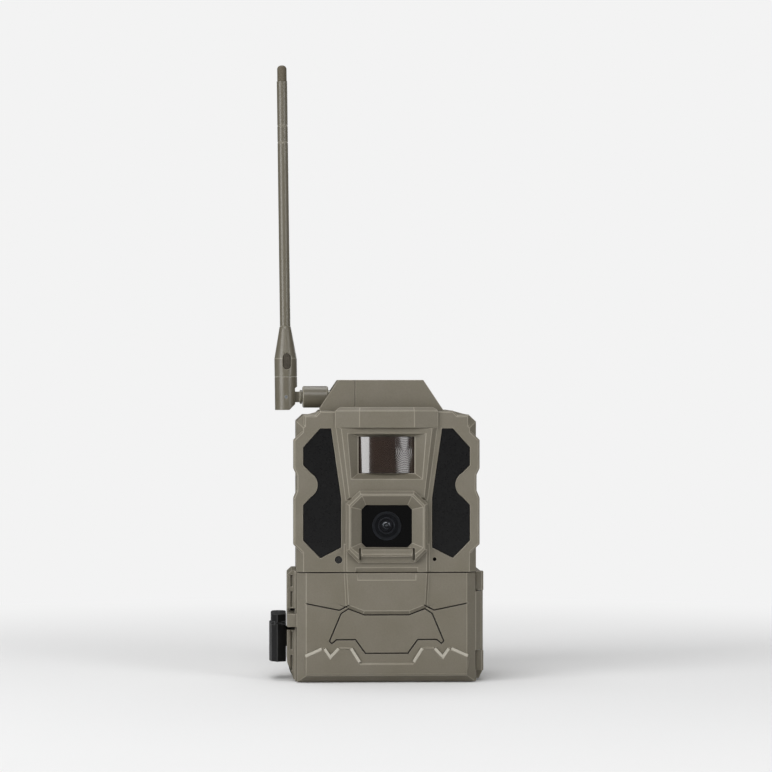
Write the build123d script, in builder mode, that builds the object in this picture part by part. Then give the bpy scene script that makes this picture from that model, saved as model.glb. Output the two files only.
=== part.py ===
from build123d import *

import math
import os

# A cellular trail camera with an upright antenna. It stands on its flat base.
# Millimetres. X runs to the right as seen from the front, +Y to the rear, +Z up.
# The origin is the middle of the flat base. The lens looks along -Y.

# ---------------------------------------------------------------- driving sizes
WALL = 2.4
SET_GAP = 0.15  # gap round a piece that is set into a pocket
RUN_OUT = 1.0  # how far a cutting block passes the face that it opens

FRONT_Y = -30.0  # flat face that the illuminator panels sit in
SPLIT_Y = -10.0  # joint between the front cover and the rear case
RIM_Y = -20.0  # rim of the lower case, which the door closes on
DOOR_BACK_Y = -20.3
BACK_Y = 33.0
RAIL_BACK_Y = 41.5

SEAM_Z = 51.2  # underside of the front cover, where the door begins
SHELF_Z = 51.0  # top of the lower case in front of the split
SHOULDER_Z = 123.3
TOP_Z = 125.4
CROWN_Z = 139.5
BODY_HW = 41.4  # half width of the case
SKIRT_HW = 42.0  # half width of the lower case
COLUMN_X = 45.7  # outer face of the side columns

CELL_R = 7.0
CELL_LENGTH = 50.5
CELL_PITCH = 14.4
CELL_FLOOR_Z = 3.7

# ---------------------------------------------------------------- helpers


def front_plane(y):
    """Sketch plane at depth y that faces the front: local x is X and local y is Z."""
    return Plane.XZ.offset(-y)


def side_plane(x):
    """Sketch plane at x that faces +X: local x is Y and local y is Z."""
    return Plane.YZ.offset(x)


def both_sides(points):
    """A right-hand half outline, closed with its mirror image."""
    return points + [(-x, z) for x, z in reversed(points)]


def other_side(points):
    """The mirror image of an outline about X = 0."""
    return [(-x, z) for x, z in points]


def rectangle(x, z):
    """Corners of an upright rectangle given by its (low, high) pairs."""
    return [(x[0], z[0]), (x[1], z[0]), (x[1], z[1]), (x[0], z[1])]


def octagon(hw, z, cut):
    """An upright rectangle about X = 0 with its four corners cut off."""
    return both_sides([(hw - cut, z[0]), (hw, z[0] + cut), (hw, z[1] - cut), (hw - cut, z[1])])


def band(points, width):
    """Outline of a strip of the given width along a polyline, mitred at its corners."""
    left, right = [], []
    for i, (x, z) in enumerate(points):
        before = points[max(i - 1, 0)]
        after = points[min(i + 1, len(points) - 1)]
        turn_in = math.atan2(z - before[1], x - before[0]) if i else None
        turn_out = math.atan2(after[1] - z, after[0] - x) if i < len(points) - 1 else None
        turn_in = turn_out if turn_in is None else turn_in
        turn_out = turn_in if turn_out is None else turn_out
        half = (turn_out - turn_in) / 2
        reach = width / 2 / math.cos(half)
        across = turn_in + half + math.pi / 2
        left.append((x + reach * math.cos(across), z + reach * math.sin(across)))
        right.append((x - reach * math.cos(across), z - reach * math.sin(across)))
    return left + right[::-1]


def block(x, y, z, mode=Mode.ADD):
    """A box given by its (low, high) pair along each axis."""
    with Locations(((x[0] + x[1]) / 2, (y[0] + y[1]) / 2, (z[0] + z[1]) / 2)):
        return Box(x[1] - x[0], y[1] - y[0], z[1] - z[0], mode=mode)


def slab(points, y_back, y_front, mode=Mode.ADD, grow=0.0, taper=0.0):
    """A front outline carried from y_back forward to y_front, grown or tapered if asked."""
    with BuildSketch(front_plane(y_back)) as outline:
        Polygon(*points, align=None)
        if grow:
            offset(amount=grow, kind=Kind.INTERSECTION)
    extrude(outline.sketch, amount=y_back - y_front, taper=taper, mode=mode)


def frustum(back, y_back, front, y_front, mode=Mode.ADD):
    """A flat-sided block between a rear outline and a front one with as many corners."""
    with BuildSketch(front_plane(y_back)) as rear:
        Polygon(*back, align=None)
    with BuildSketch(front_plane(y_front)) as fore:
        Polygon(*front, align=None)
    loft([rear.sketch.face(), fore.sketch.face()], ruled=True, mode=mode)


def wedge(points, x, mode=Mode.ADD):
    """A side outline in (y, z) carried across from x[0] to x[1]."""
    with BuildSketch(side_plane(x[0])) as outline:
        Polygon(*points, align=None)
    extrude(outline.sketch, amount=x[1] - x[0], mode=mode)


def prism(points, z, mode=Mode.ADD):
    """A plan outline in (x, y) carried up from z[0] to z[1]."""
    with BuildSketch(Plane.XY.offset(z[0])) as outline:
        Polygon(*points, align=None)
    extrude(outline.sketch, amount=z[1] - z[0], mode=mode)


def rod(radius, start, axis, length, mode=Mode.ADD):
    """A round bar from start along axis."""
    with BuildSketch(Plane(origin=start, z_dir=axis)) as section:
        Circle(radius)
    extrude(section.sketch, amount=length, mode=mode)


def engrave(points, width, y_floor, y_top=-36.0):
    """A groove with round corners along a polyline, cut back to y_floor."""
    with BuildSketch(front_plane(y_floor)) as line:
        for start, end in zip(points, points[1:]):
            Polygon(*band([start, end], width), align=None)
        with Locations(*points):
            Circle(width / 2)
    extrude(line.sketch, amount=y_floor - y_top, mode=Mode.SUBTRACT)


FORWARD = (0, -1, 0)
REARWARD = (0, 1, 0)
UP = (0, 0, 1)
LEFT = (-1, 0, 0)

# ---------------------------------------------------------------- case outlines
# Whole case seen from the front, with its stepped shoulders.
BODY = both_sides(
    [(BODY_HW, 0), (BODY_HW, 120.3), (38.2, SHOULDER_Z), (32.6, SHOULDER_Z), (30.6, TOP_Z)]
)
BODY_BACK = both_sides([(38.2, 3.2), (38.2, 118.6), (36.6, 120.2), (31.4, 120.2), (29.4, 122.3)])
BACK_BEVEL = 3.2
UPPER = both_sides(
    [(BODY_HW, SEAM_Z), (BODY_HW, 120.3), (38.2, SHOULDER_Z), (32.6, SHOULDER_Z), (30.6, TOP_Z)]
)
UPPER_BEVEL_Y = -26.6  # where the front cover's edge begins to slope in
# Armour plate on the front cover, with two bumps on each side.
ARMOUR = both_sides(
    [
        (37.4, SEAM_Z - 6),
        (37.4, 58.6),
        (42.9, 63.9),
        (42.9, 85.2),
        (41.5, 88.6),
        (41.5, 95.8),
        (42.9, 98.8),
        (42.9, 111.9),
        (38.0, 116.6),
        (38.0, SHOULDER_Z),
        (32.6, SHOULDER_Z),
        (30.6, TOP_Z),
    ]
)
ARMOUR_BACK_Y = -22.5
PLATE_BEVEL = 0.7

# Infrared illuminator panel on the right. A round bite is cut out of its outer side.
PANEL = [
    (20.9, 62.4),
    (30.5, 57.5),
    (38.4, 65.6),
    (38.4, 81.9),
    (33.9, 86.7),
    (33.9, 95.7),
    (38.4, 100.3),
    (38.4, 108.5),
    (30.6, 117.2),
    (25.5, 117.2),
    (20.9, 85.0),
]
PANEL_BITE = (38.0, 91.2)
PANEL_BITE_R = 6.3
PANEL_FRONT_Y = -29.7
PANEL_SEAT_Y = -28.4
PANEL_LIP = 1.6
CAVITY_Y = -27.4  # inside face of the front cover's front wall

VISOR_Z = (117.6, 125.3)
VISOR_TOP_Z = 127.0
VISOR_SLOPE = 52  # degrees that its top leans in from upright
VISOR_PLAN = both_sides([(12.6, -34.0), (23.6, -31.2), (23.6, -26.0)])

MOTION_FRAME_Y = -32.0
MOTION_FRAME_FOOT = both_sides([(18.9, 84.0), (23.6, 118.2)])
MOTION_FRAME_FACE = both_sides([(17.2, 85.6), (20.9, 117.2)])
MOTION_RECESS = both_sides([(16.4, 93.9), (18.1, 114.9)])
MOTION_WINDOW = rectangle((-13.2, 13.2), (96.3, 113.7))
MOTION_WINDOW_Y = -28.4
MOTION_LENS_Z = (96.7, 113.3)

STEM_Y = FRONT_Y - 1.4  # face of the column that runs down from the snout over the door

SNOUT_Y = -35.2
SNOUT_RIM = 1.3
SNOUT = both_sides([(12.9, 55.6), (18.6, 61.4), (18.6, 82.6), (12.6, 88.4)])
SNOUT_POCKET = both_sides([(11.6, 58.6), (16.6, 62.6), (16.6, 81.2), (11.4, 86.4)])
CHIN_HW = 12.6
LIP_HW = 11.7
LENS_WINDOW_Z = (62.6, 82.0)
LENS_WINDOW = octagon(11.6, LENS_WINDOW_Z, 2.0)
LENS_WINDOW_Y = -31.2
LENS_SEAT_Y = -30.0
LENS_Z = 72.4

# Places that several pieces share.
CASE_SCREWS = [(-34.8, 117.0), (34.8, 117.0), (-34.8, 57.4), (34.8, 57.4)]
CASE_SCREW_R = 1.2
CASE_SCREW_HEAD = (2.4, 2.2)  # radius and height
CASE_SCREW_SEAT_Y = -5.0
CASE_POST_R = 2.9
BOARD_SCREWS = [(-17.6, 62.6), (17.6, 62.6), (-17.6, 118.2), (17.6, 118.2)]
BOARD_SCREW_R = 0.9
BOARD_POST_R = 2.0
BOARD_Y = (-14.0, -12.4)
LIGHT_SENSOR = (-22.1, 56.8)
LIGHT_SENSOR_R = 1.7
MICROPHONE = (22.1, 57.0)
MICROPHONE_HOLE_R = 0.9
BAY_X = 30.2
BAY_Y = (-13.9, 30.4)
BAY_TOP_Z = 57.5
NOTCH_HW = 32.1  # notch in the front cover for the top of the battery bay
NOTCH_TOP_Z = 60.0
SEAL_INSET = (0.8, 1.8)  # the case seal's outer and inner edge, in from the outline
SEAL_END_Z = 60.5  # the case seal stops here, above the battery bay
SEAL_DEPTH = 1.0


def panel_outline(y, side, inset):
    """An illuminator panel's outline at depth y, drawn in by inset. side is 1 or -1."""
    with BuildSketch(front_plane(y)) as outline:
        Polygon(*(PANEL if side > 0 else other_side(PANEL)), align=None)
        if inset:
            offset(amount=-inset, kind=Kind.INTERSECTION)
        with Locations((side * PANEL_BITE[0], PANEL_BITE[1])):
            Circle(PANEL_BITE_R + inset, mode=Mode.SUBTRACT)
    return outline.sketch


def seal_outline(y):
    """The case seal's ring at depth y, which follows the case and stops above the battery bay."""
    with BuildSketch(front_plane(y)) as ring:
        Polygon(*UPPER, align=None)
        offset(amount=-SEAL_INSET[0], kind=Kind.INTERSECTION)
        with BuildSketch(mode=Mode.SUBTRACT):
            Polygon(*UPPER, align=None)
            offset(amount=-SEAL_INSET[1], kind=Kind.INTERSECTION)
        Polygon(*rectangle((-COLUMN_X, COLUMN_X), (0, SEAL_END_Z)), align=None, mode=Mode.SUBTRACT)
    return ring.sketch


# ---------------------------------------------------------------- front cover
with BuildPart() as front_housing:
    slab(UPPER, SPLIT_Y, UPPER_BEVEL_Y)
    frustum(
        both_sides([(BODY_HW, SEAM_Z), (BODY_HW, 120.3), (38.2, SHOULDER_Z), (30.6, TOP_Z)]),
        UPPER_BEVEL_Y,
        both_sides([(38.2, SEAM_Z), (38.2, 117.4), (35.6, 119.8), (29.0, 122.2)]),
        FRONT_Y,
    )
    slab(ARMOUR, ARMOUR_BACK_Y, FRONT_Y + PLATE_BEVEL)
    slab(ARMOUR, FRONT_Y + PLATE_BEVEL, FRONT_Y, taper=45)
    # Column under the lens, which the door carries on downwards.
    frustum(
        both_sides([(19.6, SEAM_Z - 4), (19.6, 64.0)]),
        FRONT_Y + 0.1,
        both_sides([(18.4, SEAM_Z - 4), (18.4, 64.0)]),
        STEM_Y,
    )
    # Frame of the motion sensor's window.
    frustum(MOTION_FRAME_FOOT, FRONT_Y + 0.2, MOTION_FRAME_FACE, MOTION_FRAME_Y)
    # Three-sided visor with a sloping top.
    prism(VISOR_PLAN, VISOR_Z)
    with BuildSketch(Plane.XY.offset(VISOR_Z[1])):
        Polygon(*VISOR_PLAN, align=None)
    extrude(amount=VISOR_TOP_Z - VISOR_Z[1], taper=VISOR_SLOPE)
    # Snout round the lens, bevelled at its rim.
    slab(SNOUT, FRONT_Y, SNOUT_Y + SNOUT_RIM)
    slab(SNOUT, SNOUT_Y + SNOUT_RIM, SNOUT_Y, taper=45)
    frustum(LENS_WINDOW, LENS_WINDOW_Y, SNOUT_POCKET, SNOUT_Y - 0.01, mode=Mode.SUBTRACT)
    # Chin that slopes back below the lens, and a lip with a slit at each end.
    chin = [(-36.2, 58.4), (-33.6, 58.4), (-32.2, 53.2), (-36.2, 53.2)]
    wedge(chin, (-CHIN_HW, CHIN_HW), Mode.SUBTRACT)
    lip = [(-31.3, 62.5), (-34.2, 61.7), (-34.2, 58.4), (-31.3, 58.4)]
    wedge(lip, (-LIP_HW, LIP_HW))
    for side in (-1, 1):
        x = sorted((side * (LIP_HW + 0.1), side * (LIP_HW + 1.1)))
        block(x, (-36.0, -31.6), (56.7, 62.3), Mode.SUBTRACT)
    # Sloped lower edge that meets the door's own slope.
    foot = [(-36.0, 53.3), (-31.4, 53.3), (-30.2, 51.0), (-36.0, 51.0)]
    wedge(foot, (-14.2, 14.2), Mode.SUBTRACT)
    block((-60, 60), (-40, 0), (SEAM_Z - 20, SEAM_Z), Mode.SUBTRACT)
    # Hollow, notched where the battery bay reaches forward.
    slab(UPPER, SPLIT_Y, CAVITY_Y, Mode.SUBTRACT, grow=-WALL)
    block((-NOTCH_HW, NOTCH_HW), (-15.0, SPLIT_Y), (SEAM_Z - 1, NOTCH_TOP_Z), Mode.SUBTRACT)
    # Posts for the case screws and for the main board.
    for x, z in CASE_SCREWS:
        rod(CASE_POST_R, (x, SPLIT_Y, z), FORWARD, SPLIT_Y - CAVITY_Y)
        rod(CASE_SCREW_R, (x, SPLIT_Y, z), FORWARD, 14.0, Mode.SUBTRACT)
    for x, z in BOARD_SCREWS:
        rod(BOARD_POST_R, (x, BOARD_Y[0], z), FORWARD, BOARD_Y[0] - CAVITY_Y)
        rod(BOARD_SCREW_R, (x, BOARD_Y[0], z), FORWARD, 8.0, Mode.SUBTRACT)
    # Motion sensor's recess, with wide sloping sides, and the opening behind it.
    frustum(MOTION_WINDOW, MOTION_WINDOW_Y, MOTION_RECESS, MOTION_FRAME_Y - 0.01, Mode.SUBTRACT)
    slab(rectangle((-12.8, 12.8), (96.5, 113.5)), CAVITY_Y + 1, MOTION_WINDOW_Y - 0.1, Mode.SUBTRACT)
    # Seat for the lens window, and the opening behind it.
    slab(LENS_WINDOW, LENS_SEAT_Y, LENS_WINDOW_Y - 0.1, Mode.SUBTRACT)
    slab(octagon(10.4, (63.8, 80.8), 2.0), CAVITY_Y + 1, LENS_SEAT_Y - 0.1, Mode.SUBTRACT)
    for (x, z), radius in ((LIGHT_SENSOR, LIGHT_SENSOR_R + 0.05), (MICROPHONE, MICROPHONE_HOLE_R)):
        rod(radius, (x, FRONT_Y - RUN_OUT, z), REARWARD, 4.0, Mode.SUBTRACT)
    # Pockets for the illuminator panels, with bevelled rims and light openings.
    for side in (-1, 1):
        pocket = panel_outline(PANEL_SEAT_Y, side, 0)
        extrude(pocket, amount=PANEL_SEAT_Y - FRONT_Y + RUN_OUT, mode=Mode.SUBTRACT)
        opening = panel_outline(CAVITY_Y + RUN_OUT, side, PANEL_LIP)
        extrude(opening, amount=CAVITY_Y + RUN_OUT - PANEL_SEAT_Y + 0.1, mode=Mode.SUBTRACT)

# ---------------------------------------------------------------- rear case
HINGE = (43.2, -19.0)  # door hinge axis in plan
HINGE_PIN_R = 0.75
DOOR_KNUCKLE_Z = (14.6, 41.8)
LATCH_PIVOT = (-49.5, 8.0)
LATCH_PIN_R = 1.2
COLUMN_Y = (-19.0, 13.0)
NOTCHES_Z = ((23.7, 25.2), (32.0, 33.8))  # gaps on each side of the door's catch
PORT = (35.4, 14.0)  # charging port, in the rear face
WELL_X = (31.8, 39.0)  # side wells beside the battery bay
LATCH_EAR_Z = (14.3, 23.4)
TRIPOD_Z = 100.0
TRIPOD_INSERT_R = 4.0
TRIPOD_BORE_R = 2.6  # minor diameter of a 1/4 inch thread
STRAP_Z = (76.0, 103.0)
STRAP_Y = (33.0, 37.6)
LOCK_HOLE = (37.0, 60.0)  # cable lock hole through the rails, in (y, z)
LOCK_HOLE_R = 3.2
RAIL_X = 27.0  # middle of a rear rail, which is RAIL_HW either side of it
RAIL_HW = 3.0
RAIL_Z = (15.0, 118.0)
TOOTH = 1.5
TOOTH_PITCH = 5.0


def rail_outline():
    """Side outline of a rear rail in (y, z), with bark teeth above and below the lock hole."""
    points = [(BACK_Y - 1, RAIL_Z[0]), (RAIL_BACK_Y - 4, RAIL_Z[0]), (RAIL_BACK_Y, RAIL_Z[0] + 4)]
    for start, teeth in ((22.0, 5), (72.0, 8)):
        for i in range(teeth):
            z = start + i * TOOTH_PITCH
            points += [(RAIL_BACK_Y, z), (RAIL_BACK_Y - TOOTH, z + TOOTH_PITCH / 2)]
        points.append((RAIL_BACK_Y, start + teeth * TOOTH_PITCH))
    points += [(RAIL_BACK_Y, RAIL_Z[1] - 4), (RAIL_BACK_Y - 4, RAIL_Z[1]), (BACK_Y - 1, RAIL_Z[1])]
    return points


with BuildPart() as rear_housing:
    slab(BODY, BACK_Y - BACK_BEVEL, SPLIT_Y)
    frustum(BODY_BACK, BACK_Y, BODY, BACK_Y - BACK_BEVEL)
    block((-SKIRT_HW, SKIRT_HW), (RIM_Y, 18.0), (0, SHELF_Z))
    block((-31.8, 31.8), (-14.7, SPLIT_Y + 1), (SHELF_Z - 1, 59.6))
    # Side columns. The left one has a sloped foot and the latch's ear.
    left_column = [
        (-SKIRT_HW + 0.5, 0.6),
        (-SKIRT_HW + 0.5, 51.4),
        (-43.6, 51.4),
        (-COLUMN_X, 49.4),
        (-COLUMN_X, 9.0),
        (-42.6, 0.9),
    ]
    slab(left_column, COLUMN_Y[1], COLUMN_Y[0])
    right_column = [
        (SKIRT_HW - 0.5, 1.0),
        (43.4, 1.0),
        (45.3, 5.0),
        (45.3, 49.8),
        (44.0, 51.0),
        (SKIRT_HW - 0.5, 51.0),
    ]
    slab(right_column, COLUMN_Y[1], -16.3)
    for z in ((5.0, 14.3), (42.1, 50.9)):
        prism(
            [(41.5, -15.5), (45.3, -15.5), (45.3, -19.9), (44.4, -20.7), (42.0, -20.7), (41.5, -20.0)], z
        )
    for low, high in ((5.0, 12.2), (14.8, 23.3), (34.3, 41.7), (43.8, 49.3)):
        block((-44.1, -43.1), (COLUMN_Y[0] - 1, COLUMN_Y[0] + 1.4), (low, high), Mode.SUBTRACT)
    for z in NOTCHES_Z:
        block((-44.1, -SKIRT_HW), (-25, 14), z, Mode.SUBTRACT)
        block((-46.0, -44.0), (-25, -8), z, Mode.SUBTRACT)
    block((-46.0, -SKIRT_HW), (-25, -15.6), (NOTCHES_Z[0][0], NOTCHES_Z[1][1]), Mode.SUBTRACT)
    rod(3.2, (*LATCH_PIVOT, LATCH_EAR_Z[0]), UP, LATCH_EAR_Z[1] - LATCH_EAR_Z[0])
    block((LATCH_PIVOT[0], -45.0), (4.8, 11.2), LATCH_EAR_Z)
    rod(LATCH_PIN_R, (*LATCH_PIVOT, 14.0), UP, 10.0, Mode.SUBTRACT)
    # Rear rails that bite on bark, with strap slots and a cable lock hole.
    for side in (-1, 1):
        middle = side * RAIL_X
        wedge(rail_outline(), (middle - RAIL_HW, middle + RAIL_HW))
        cut = (middle - RAIL_HW - RUN_OUT, middle + RAIL_HW + RUN_OUT)
        block(cut, STRAP_Y, STRAP_Z, Mode.SUBTRACT)
    rod(LOCK_HOLE_R, (40.0, *LOCK_HOLE), LEFT, 80.0, Mode.SUBTRACT)
    # Raised pad for the tripod thread and a recessed label panel.
    rod(8.0, (0, BACK_Y - 2, TRIPOD_Z), REARWARD, 3.0)
    slab(octagon(19.0, (20.0, 72.0), 3.0), BACK_Y + 1, BACK_Y - 0.5, Mode.SUBTRACT)
    # Hollows: the upper chest, two side wells, the battery bay and the front tray.
    chest = both_sides([(39.0, 59.6), (39.0, 119.3), (37.2, 120.9), (31.6, 120.9), (29.6, 123.0)])
    slab(chest, BAY_Y[1], SPLIT_Y - 0.5, Mode.SUBTRACT)
    for side in (-1, 1):
        x = sorted((side * WELL_X[0], side * WELL_X[1]))
        block(x, (-12.0, BAY_Y[1]), (3.0, 60.0), Mode.SUBTRACT)
    block((-BAY_X, BAY_X), BAY_Y, (-1, BAY_TOP_Z), Mode.SUBTRACT)
    block((-WELL_X[1], WELL_X[1]), (RIM_Y - RUN_OUT, -14.7), (3.0, 48.6), Mode.SUBTRACT)
    block((33.9, 37.1), (-14.8, -11.0), (11.0, 39.0), Mode.SUBTRACT)
    # Screw tubes, the tripod boss and the charging port's hole.
    for x, z in CASE_SCREWS:
        rod(CASE_POST_R + 0.3, (x, SPLIT_Y, z), REARWARD, BACK_Y - SPLIT_Y - 1)
        depth = BACK_Y + RUN_OUT - CASE_SCREW_SEAT_Y
        rod(CASE_SCREW_HEAD[0] + 0.2, (x, BACK_Y + RUN_OUT, z), FORWARD, depth, Mode.SUBTRACT)
        rod(CASE_SCREW_R + 0.2, (x, SPLIT_Y - RUN_OUT, z), REARWARD, 8.0, Mode.SUBTRACT)
    rod(TRIPOD_INSERT_R + 2.2, (0, 22.5, TRIPOD_Z), REARWARD, 9.0)
    rod(TRIPOD_INSERT_R, (0, BACK_Y + 2, TRIPOD_Z), FORWARD, 9.0, Mode.SUBTRACT)
    rod(3.8, (PORT[0], BAY_Y[1] - 1, PORT[1]), REARWARD, 6.0, Mode.SUBTRACT)
    # Room for the door's knuckle, and the hinge pin's hole.
    rod(1.75, (*HINGE, DOOR_KNUCKLE_Z[0] - 0.3), UP, 27.8, Mode.SUBTRACT)
    rod(HINGE_PIN_R, (*HINGE, 5.6), UP, 45.0, Mode.SUBTRACT)
    # Antenna lead's hole in the top.
    rod(1.2, (-16.6, -4.0, 118.0), UP, 10.0, Mode.SUBTRACT)
    # Grip ribs on the sides and the groove for the case seal.
    for z in range(62, 112, 8):
        for side in (-1, 1):
            x = sorted((side * (BODY_HW - 0.6), side * (SKIRT_HW + 2)))
            block(x, (-2.0, 26.0), (z, z + 4.0), Mode.SUBTRACT)
    extrude(seal_outline(SPLIT_Y + SEAL_DEPTH), amount=SEAL_DEPTH + RUN_OUT, mode=Mode.SUBTRACT)

# ---------------------------------------------------------------- hump on the top
HUMP_Y = (-24.0, 20.0)
HUMP_SEAM_X = -14.5
BOSS_X = -25.4
BOSS_FRONT_Y = -12.0  # the antenna's boss stands behind the sloped shoulder
HUMP_TAIL = [(HUMP_Y[1] + 1, TOP_Z + 2), (HUMP_Y[1] + 1, CROWN_Z + 1), (HUMP_Y[1] - 6, CROWN_Z + 1)]
AERIAL = (-46.0, -4.0, 131.6)  # antenna pivot, on the connector's axis

with BuildPart() as antenna_block:
    slope = [(-30.6, TOP_Z), (-30.6, 126.7)]
    boss = [(BOSS_X, TOP_Z), (BOSS_X, 134.4)]
    crown = [(-22.0, CROWN_Z), (HUMP_SEAM_X, CROWN_Z), (HUMP_SEAM_X, TOP_Z)]
    slab(slope + crown, BOSS_FRONT_Y, HUMP_Y[0])
    slab(boss + crown, HUMP_Y[1], BOSS_FRONT_Y)
    wedge(HUMP_TAIL, (-32, -14), Mode.SUBTRACT)
    rod(3.15, (BOSS_X - 1, *AERIAL[1:]), (1, 0, 0), 6.0, Mode.SUBTRACT)
    block((-22.0, -15.9), (-8.0, 0.0), (TOP_Z - 1, 136.0), Mode.SUBTRACT)

with BuildPart() as top_cover:
    left = HUMP_SEAM_X + 0.25
    slab([(left, TOP_Z), (left, CROWN_Z), (17.2, CROWN_Z), (26.6, TOP_Z)], *HUMP_Y[::-1])
    wedge(HUMP_TAIL, (-15, 28), Mode.SUBTRACT)
    hollow = [(-12.4, TOP_Z - 1), (-12.4, 137.2), (15.8, 137.2), (24.2, TOP_Z - 1)]
    slab(hollow, 13.0, HUMP_Y[0] + 2, Mode.SUBTRACT)

# ---------------------------------------------------------------- door
DOOR_HW = 41.2
DOOR_Z = (0.4, 50.75)
DOOR_FACE_HW = 37.0  # flat front between the sloped sides
DOOR_FACE_Z = 3.5  # and above the sloped foot
DOOR_BEND_Y = -25.8
STEP_LINE = [(37.4, 36.8), (21.8, 33.6), (17.4, 35.9)]
BADGE = both_sides(
    [
        (10.2, 31.5),
        (17.6, 34.3),
        (21.0, 32.0),
        (26.3, 19.4),
        (25.2, 18.3),
        (23.0, 20.1),
        (14.3, 20.1),
        (9.8, 13.8),
    ]
)
ENGRAVED_LINE = (0.55, 0.7)  # width and depth
PEAKS = [(38.2, 12.2), (28.8, 16.4), (25.9, 12.1), (21.8, 16.4), (16.5, 16.4), (12.0, 9.2)]
BOOT_STEP = 0.45  # the boot stands forward in two steps
TRIM_WIDTH = 1.35
TRIM_LINES = [
    [(37.4, 12.6), (29.8, 16.0)],
    [(28.6, 16.0), (25.9, 12.1), (22.1, 16.1)],
    [(16.4, 16.2), (12.4, 9.8)],
]

with BuildPart() as front_door:
    rim = rectangle((-DOOR_HW, DOOR_HW), DOOR_Z)
    face = rectangle((-DOOR_FACE_HW, DOOR_FACE_HW), (DOOR_FACE_Z, DOOR_Z[1]))
    slab(rim, DOOR_BACK_Y, DOOR_BEND_Y)
    frustum(rim, DOOR_BEND_Y, face, FRONT_Y)
    # Raised centre panel under the lens, with a sloped foot and a sloped notch at its top.
    frustum(
        both_sides([(10.9, 31.4), (18.7, 35.0), (19.5, DOOR_Z[1])]),
        FRONT_Y + 0.1,
        both_sides([(10.3, 33.4), (17.6, 36.2), (18.4, DOOR_Z[1])]),
        STEM_Y,
    )
    wedge([(-31.4, 47.5), (-30.2, 51.5), (-33.0, 51.5), (-33.0, 47.5)], (-13.4, 13.4), Mode.SUBTRACT)
    # Boot with a mountain-shaped upper edge.
    boot = [(DOOR_FACE_HW, DOOR_FACE_Z)] + PEAKS
    slab(both_sides(boot), FRONT_Y + 0.1, FRONT_Y - BOOT_STEP)
    upper_boot = [(DOOR_FACE_HW, DOOR_FACE_Z + 0.8)] + [(x, z - BOOT_STEP) for x, z in PEAKS]
    slab(both_sides(upper_boot), FRONT_Y - 0.4, FRONT_Y - 0.8)
    for side in (-1, 1):
        x = sorted((side * DOOR_FACE_HW, side * 60))
        block(x, (-34, FRONT_Y - 0.01), (0, 20), Mode.SUBTRACT)
    # Engraved lines: the step, the badge panel, and channels for the trim.
    for line in (STEP_LINE, other_side(STEP_LINE)):
        engrave(line, ENGRAVED_LINE[0], FRONT_Y + ENGRAVED_LINE[1])
    engrave(BADGE + BADGE[:1], ENGRAVED_LINE[0], FRONT_Y + ENGRAVED_LINE[1])
    for line in TRIM_LINES:
        for points in (line, other_side(line)):
            slab(band(points, TRIM_WIDTH), FRONT_Y + 0.3, FRONT_Y - 2, Mode.SUBTRACT)
    # Hollow back, with a groove for the seal.
    slab(rectangle((-38.4, 38.4), (3.6, 47.6)), DOOR_BACK_Y + 1, -27.2, Mode.SUBTRACT)
    with BuildSketch(front_plane(DOOR_BACK_Y)):
        Polygon(*rectangle((-40.4, 40.4), (1.3, 50.0)), align=None)
        Polygon(*rectangle((-39.0, 39.0), (2.7, 48.6)), align=None, mode=Mode.SUBTRACT)
    extrude(amount=1.0, mode=Mode.SUBTRACT)
    # Catch on the left, and the hinge arm and knuckle on the right.
    block((-45.6, -40.8), (-24.6, -20.4), (25.6, 31.6))
    block((-45.6, -42.4), (-24.6, -16.2), (25.6, 31.6))
    hinge_arm = [(40.6, -20.5), (40.6, -23.8), (41.6, -23.8), (44.3, -19.9), (43.2, -19.0), (42.5, -20.2)]
    prism(hinge_arm, DOOR_KNUCKLE_Z)
    rod(1.45, (*HINGE, DOOR_KNUCKLE_Z[0]), UP, DOOR_KNUCKLE_Z[1] - DOOR_KNUCKLE_Z[0])
    rod(HINGE_PIN_R + 0.06, (*HINGE, 10), UP, 40, Mode.SUBTRACT)

with BuildPart() as door_trim:
    for line in TRIM_LINES:
        for points in (line, other_side(line)):
            slab(band(points, TRIM_WIDTH - 0.04), FRONT_Y + 0.3, FRONT_Y - 0.95)

with BuildPart() as door_gasket:
    with BuildSketch(front_plane(DOOR_BACK_Y + 0.2)):
        Polygon(*rectangle((-40.3, 40.3), (1.4, 49.9)), align=None)
        Polygon(*rectangle((-39.1, 39.1), (2.6, 48.7)), align=None, mode=Mode.SUBTRACT)
    extrude(amount=1.1)

with BuildPart() as hinge_pin:
    rod(HINGE_PIN_R, (*HINGE, 5.8), UP, 44.6)

# ---------------------------------------------------------------- latch
LATCH_Z = (8.8, 30.8)
LATCH_OUTER_X = -53.9

with BuildPart() as latch_lever:
    grip = [(-50.2, -16.5), (-52.9, -13.5), (LATCH_OUTER_X, -9.0), (LATCH_OUTER_X, 4.0)]
    prism([(-46.1, 4.0), (-46.1, -14.0)] + grip, LATCH_Z)
    fillet(latch_lever.edges().filter_by(Axis.Z).sort_by(Axis.X)[:3], 0.9)
    for z in ((LATCH_Z[0], 13.9), (23.8, LATCH_Z[1])):
        prism([(-46.1, 8.0), (-46.1, 3.0), (LATCH_OUTER_X + 1, 3.0), (-52.8, 8.0)], z)
        rod(3.4, (*LATCH_PIVOT, z[0]), UP, z[1] - z[0])
    rod(3.7, (*LATCH_PIVOT, 13.9), UP, 9.9, Mode.SUBTRACT)
    rod(LATCH_PIN_R + 0.06, (*LATCH_PIVOT, 8.0), UP, 24.0, Mode.SUBTRACT)
    # Stepped cap over the top, parted from the grip by a groove.
    block((-60, -45), (-20, 20), (26.5, 26.9), Mode.SUBTRACT)
    block((-53.2, -46.6), (-15.2, 3.6), (26.0, 27.4))
    block((-60, -53.1), (-20, 20), (26.8, 31), Mode.SUBTRACT)

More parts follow.
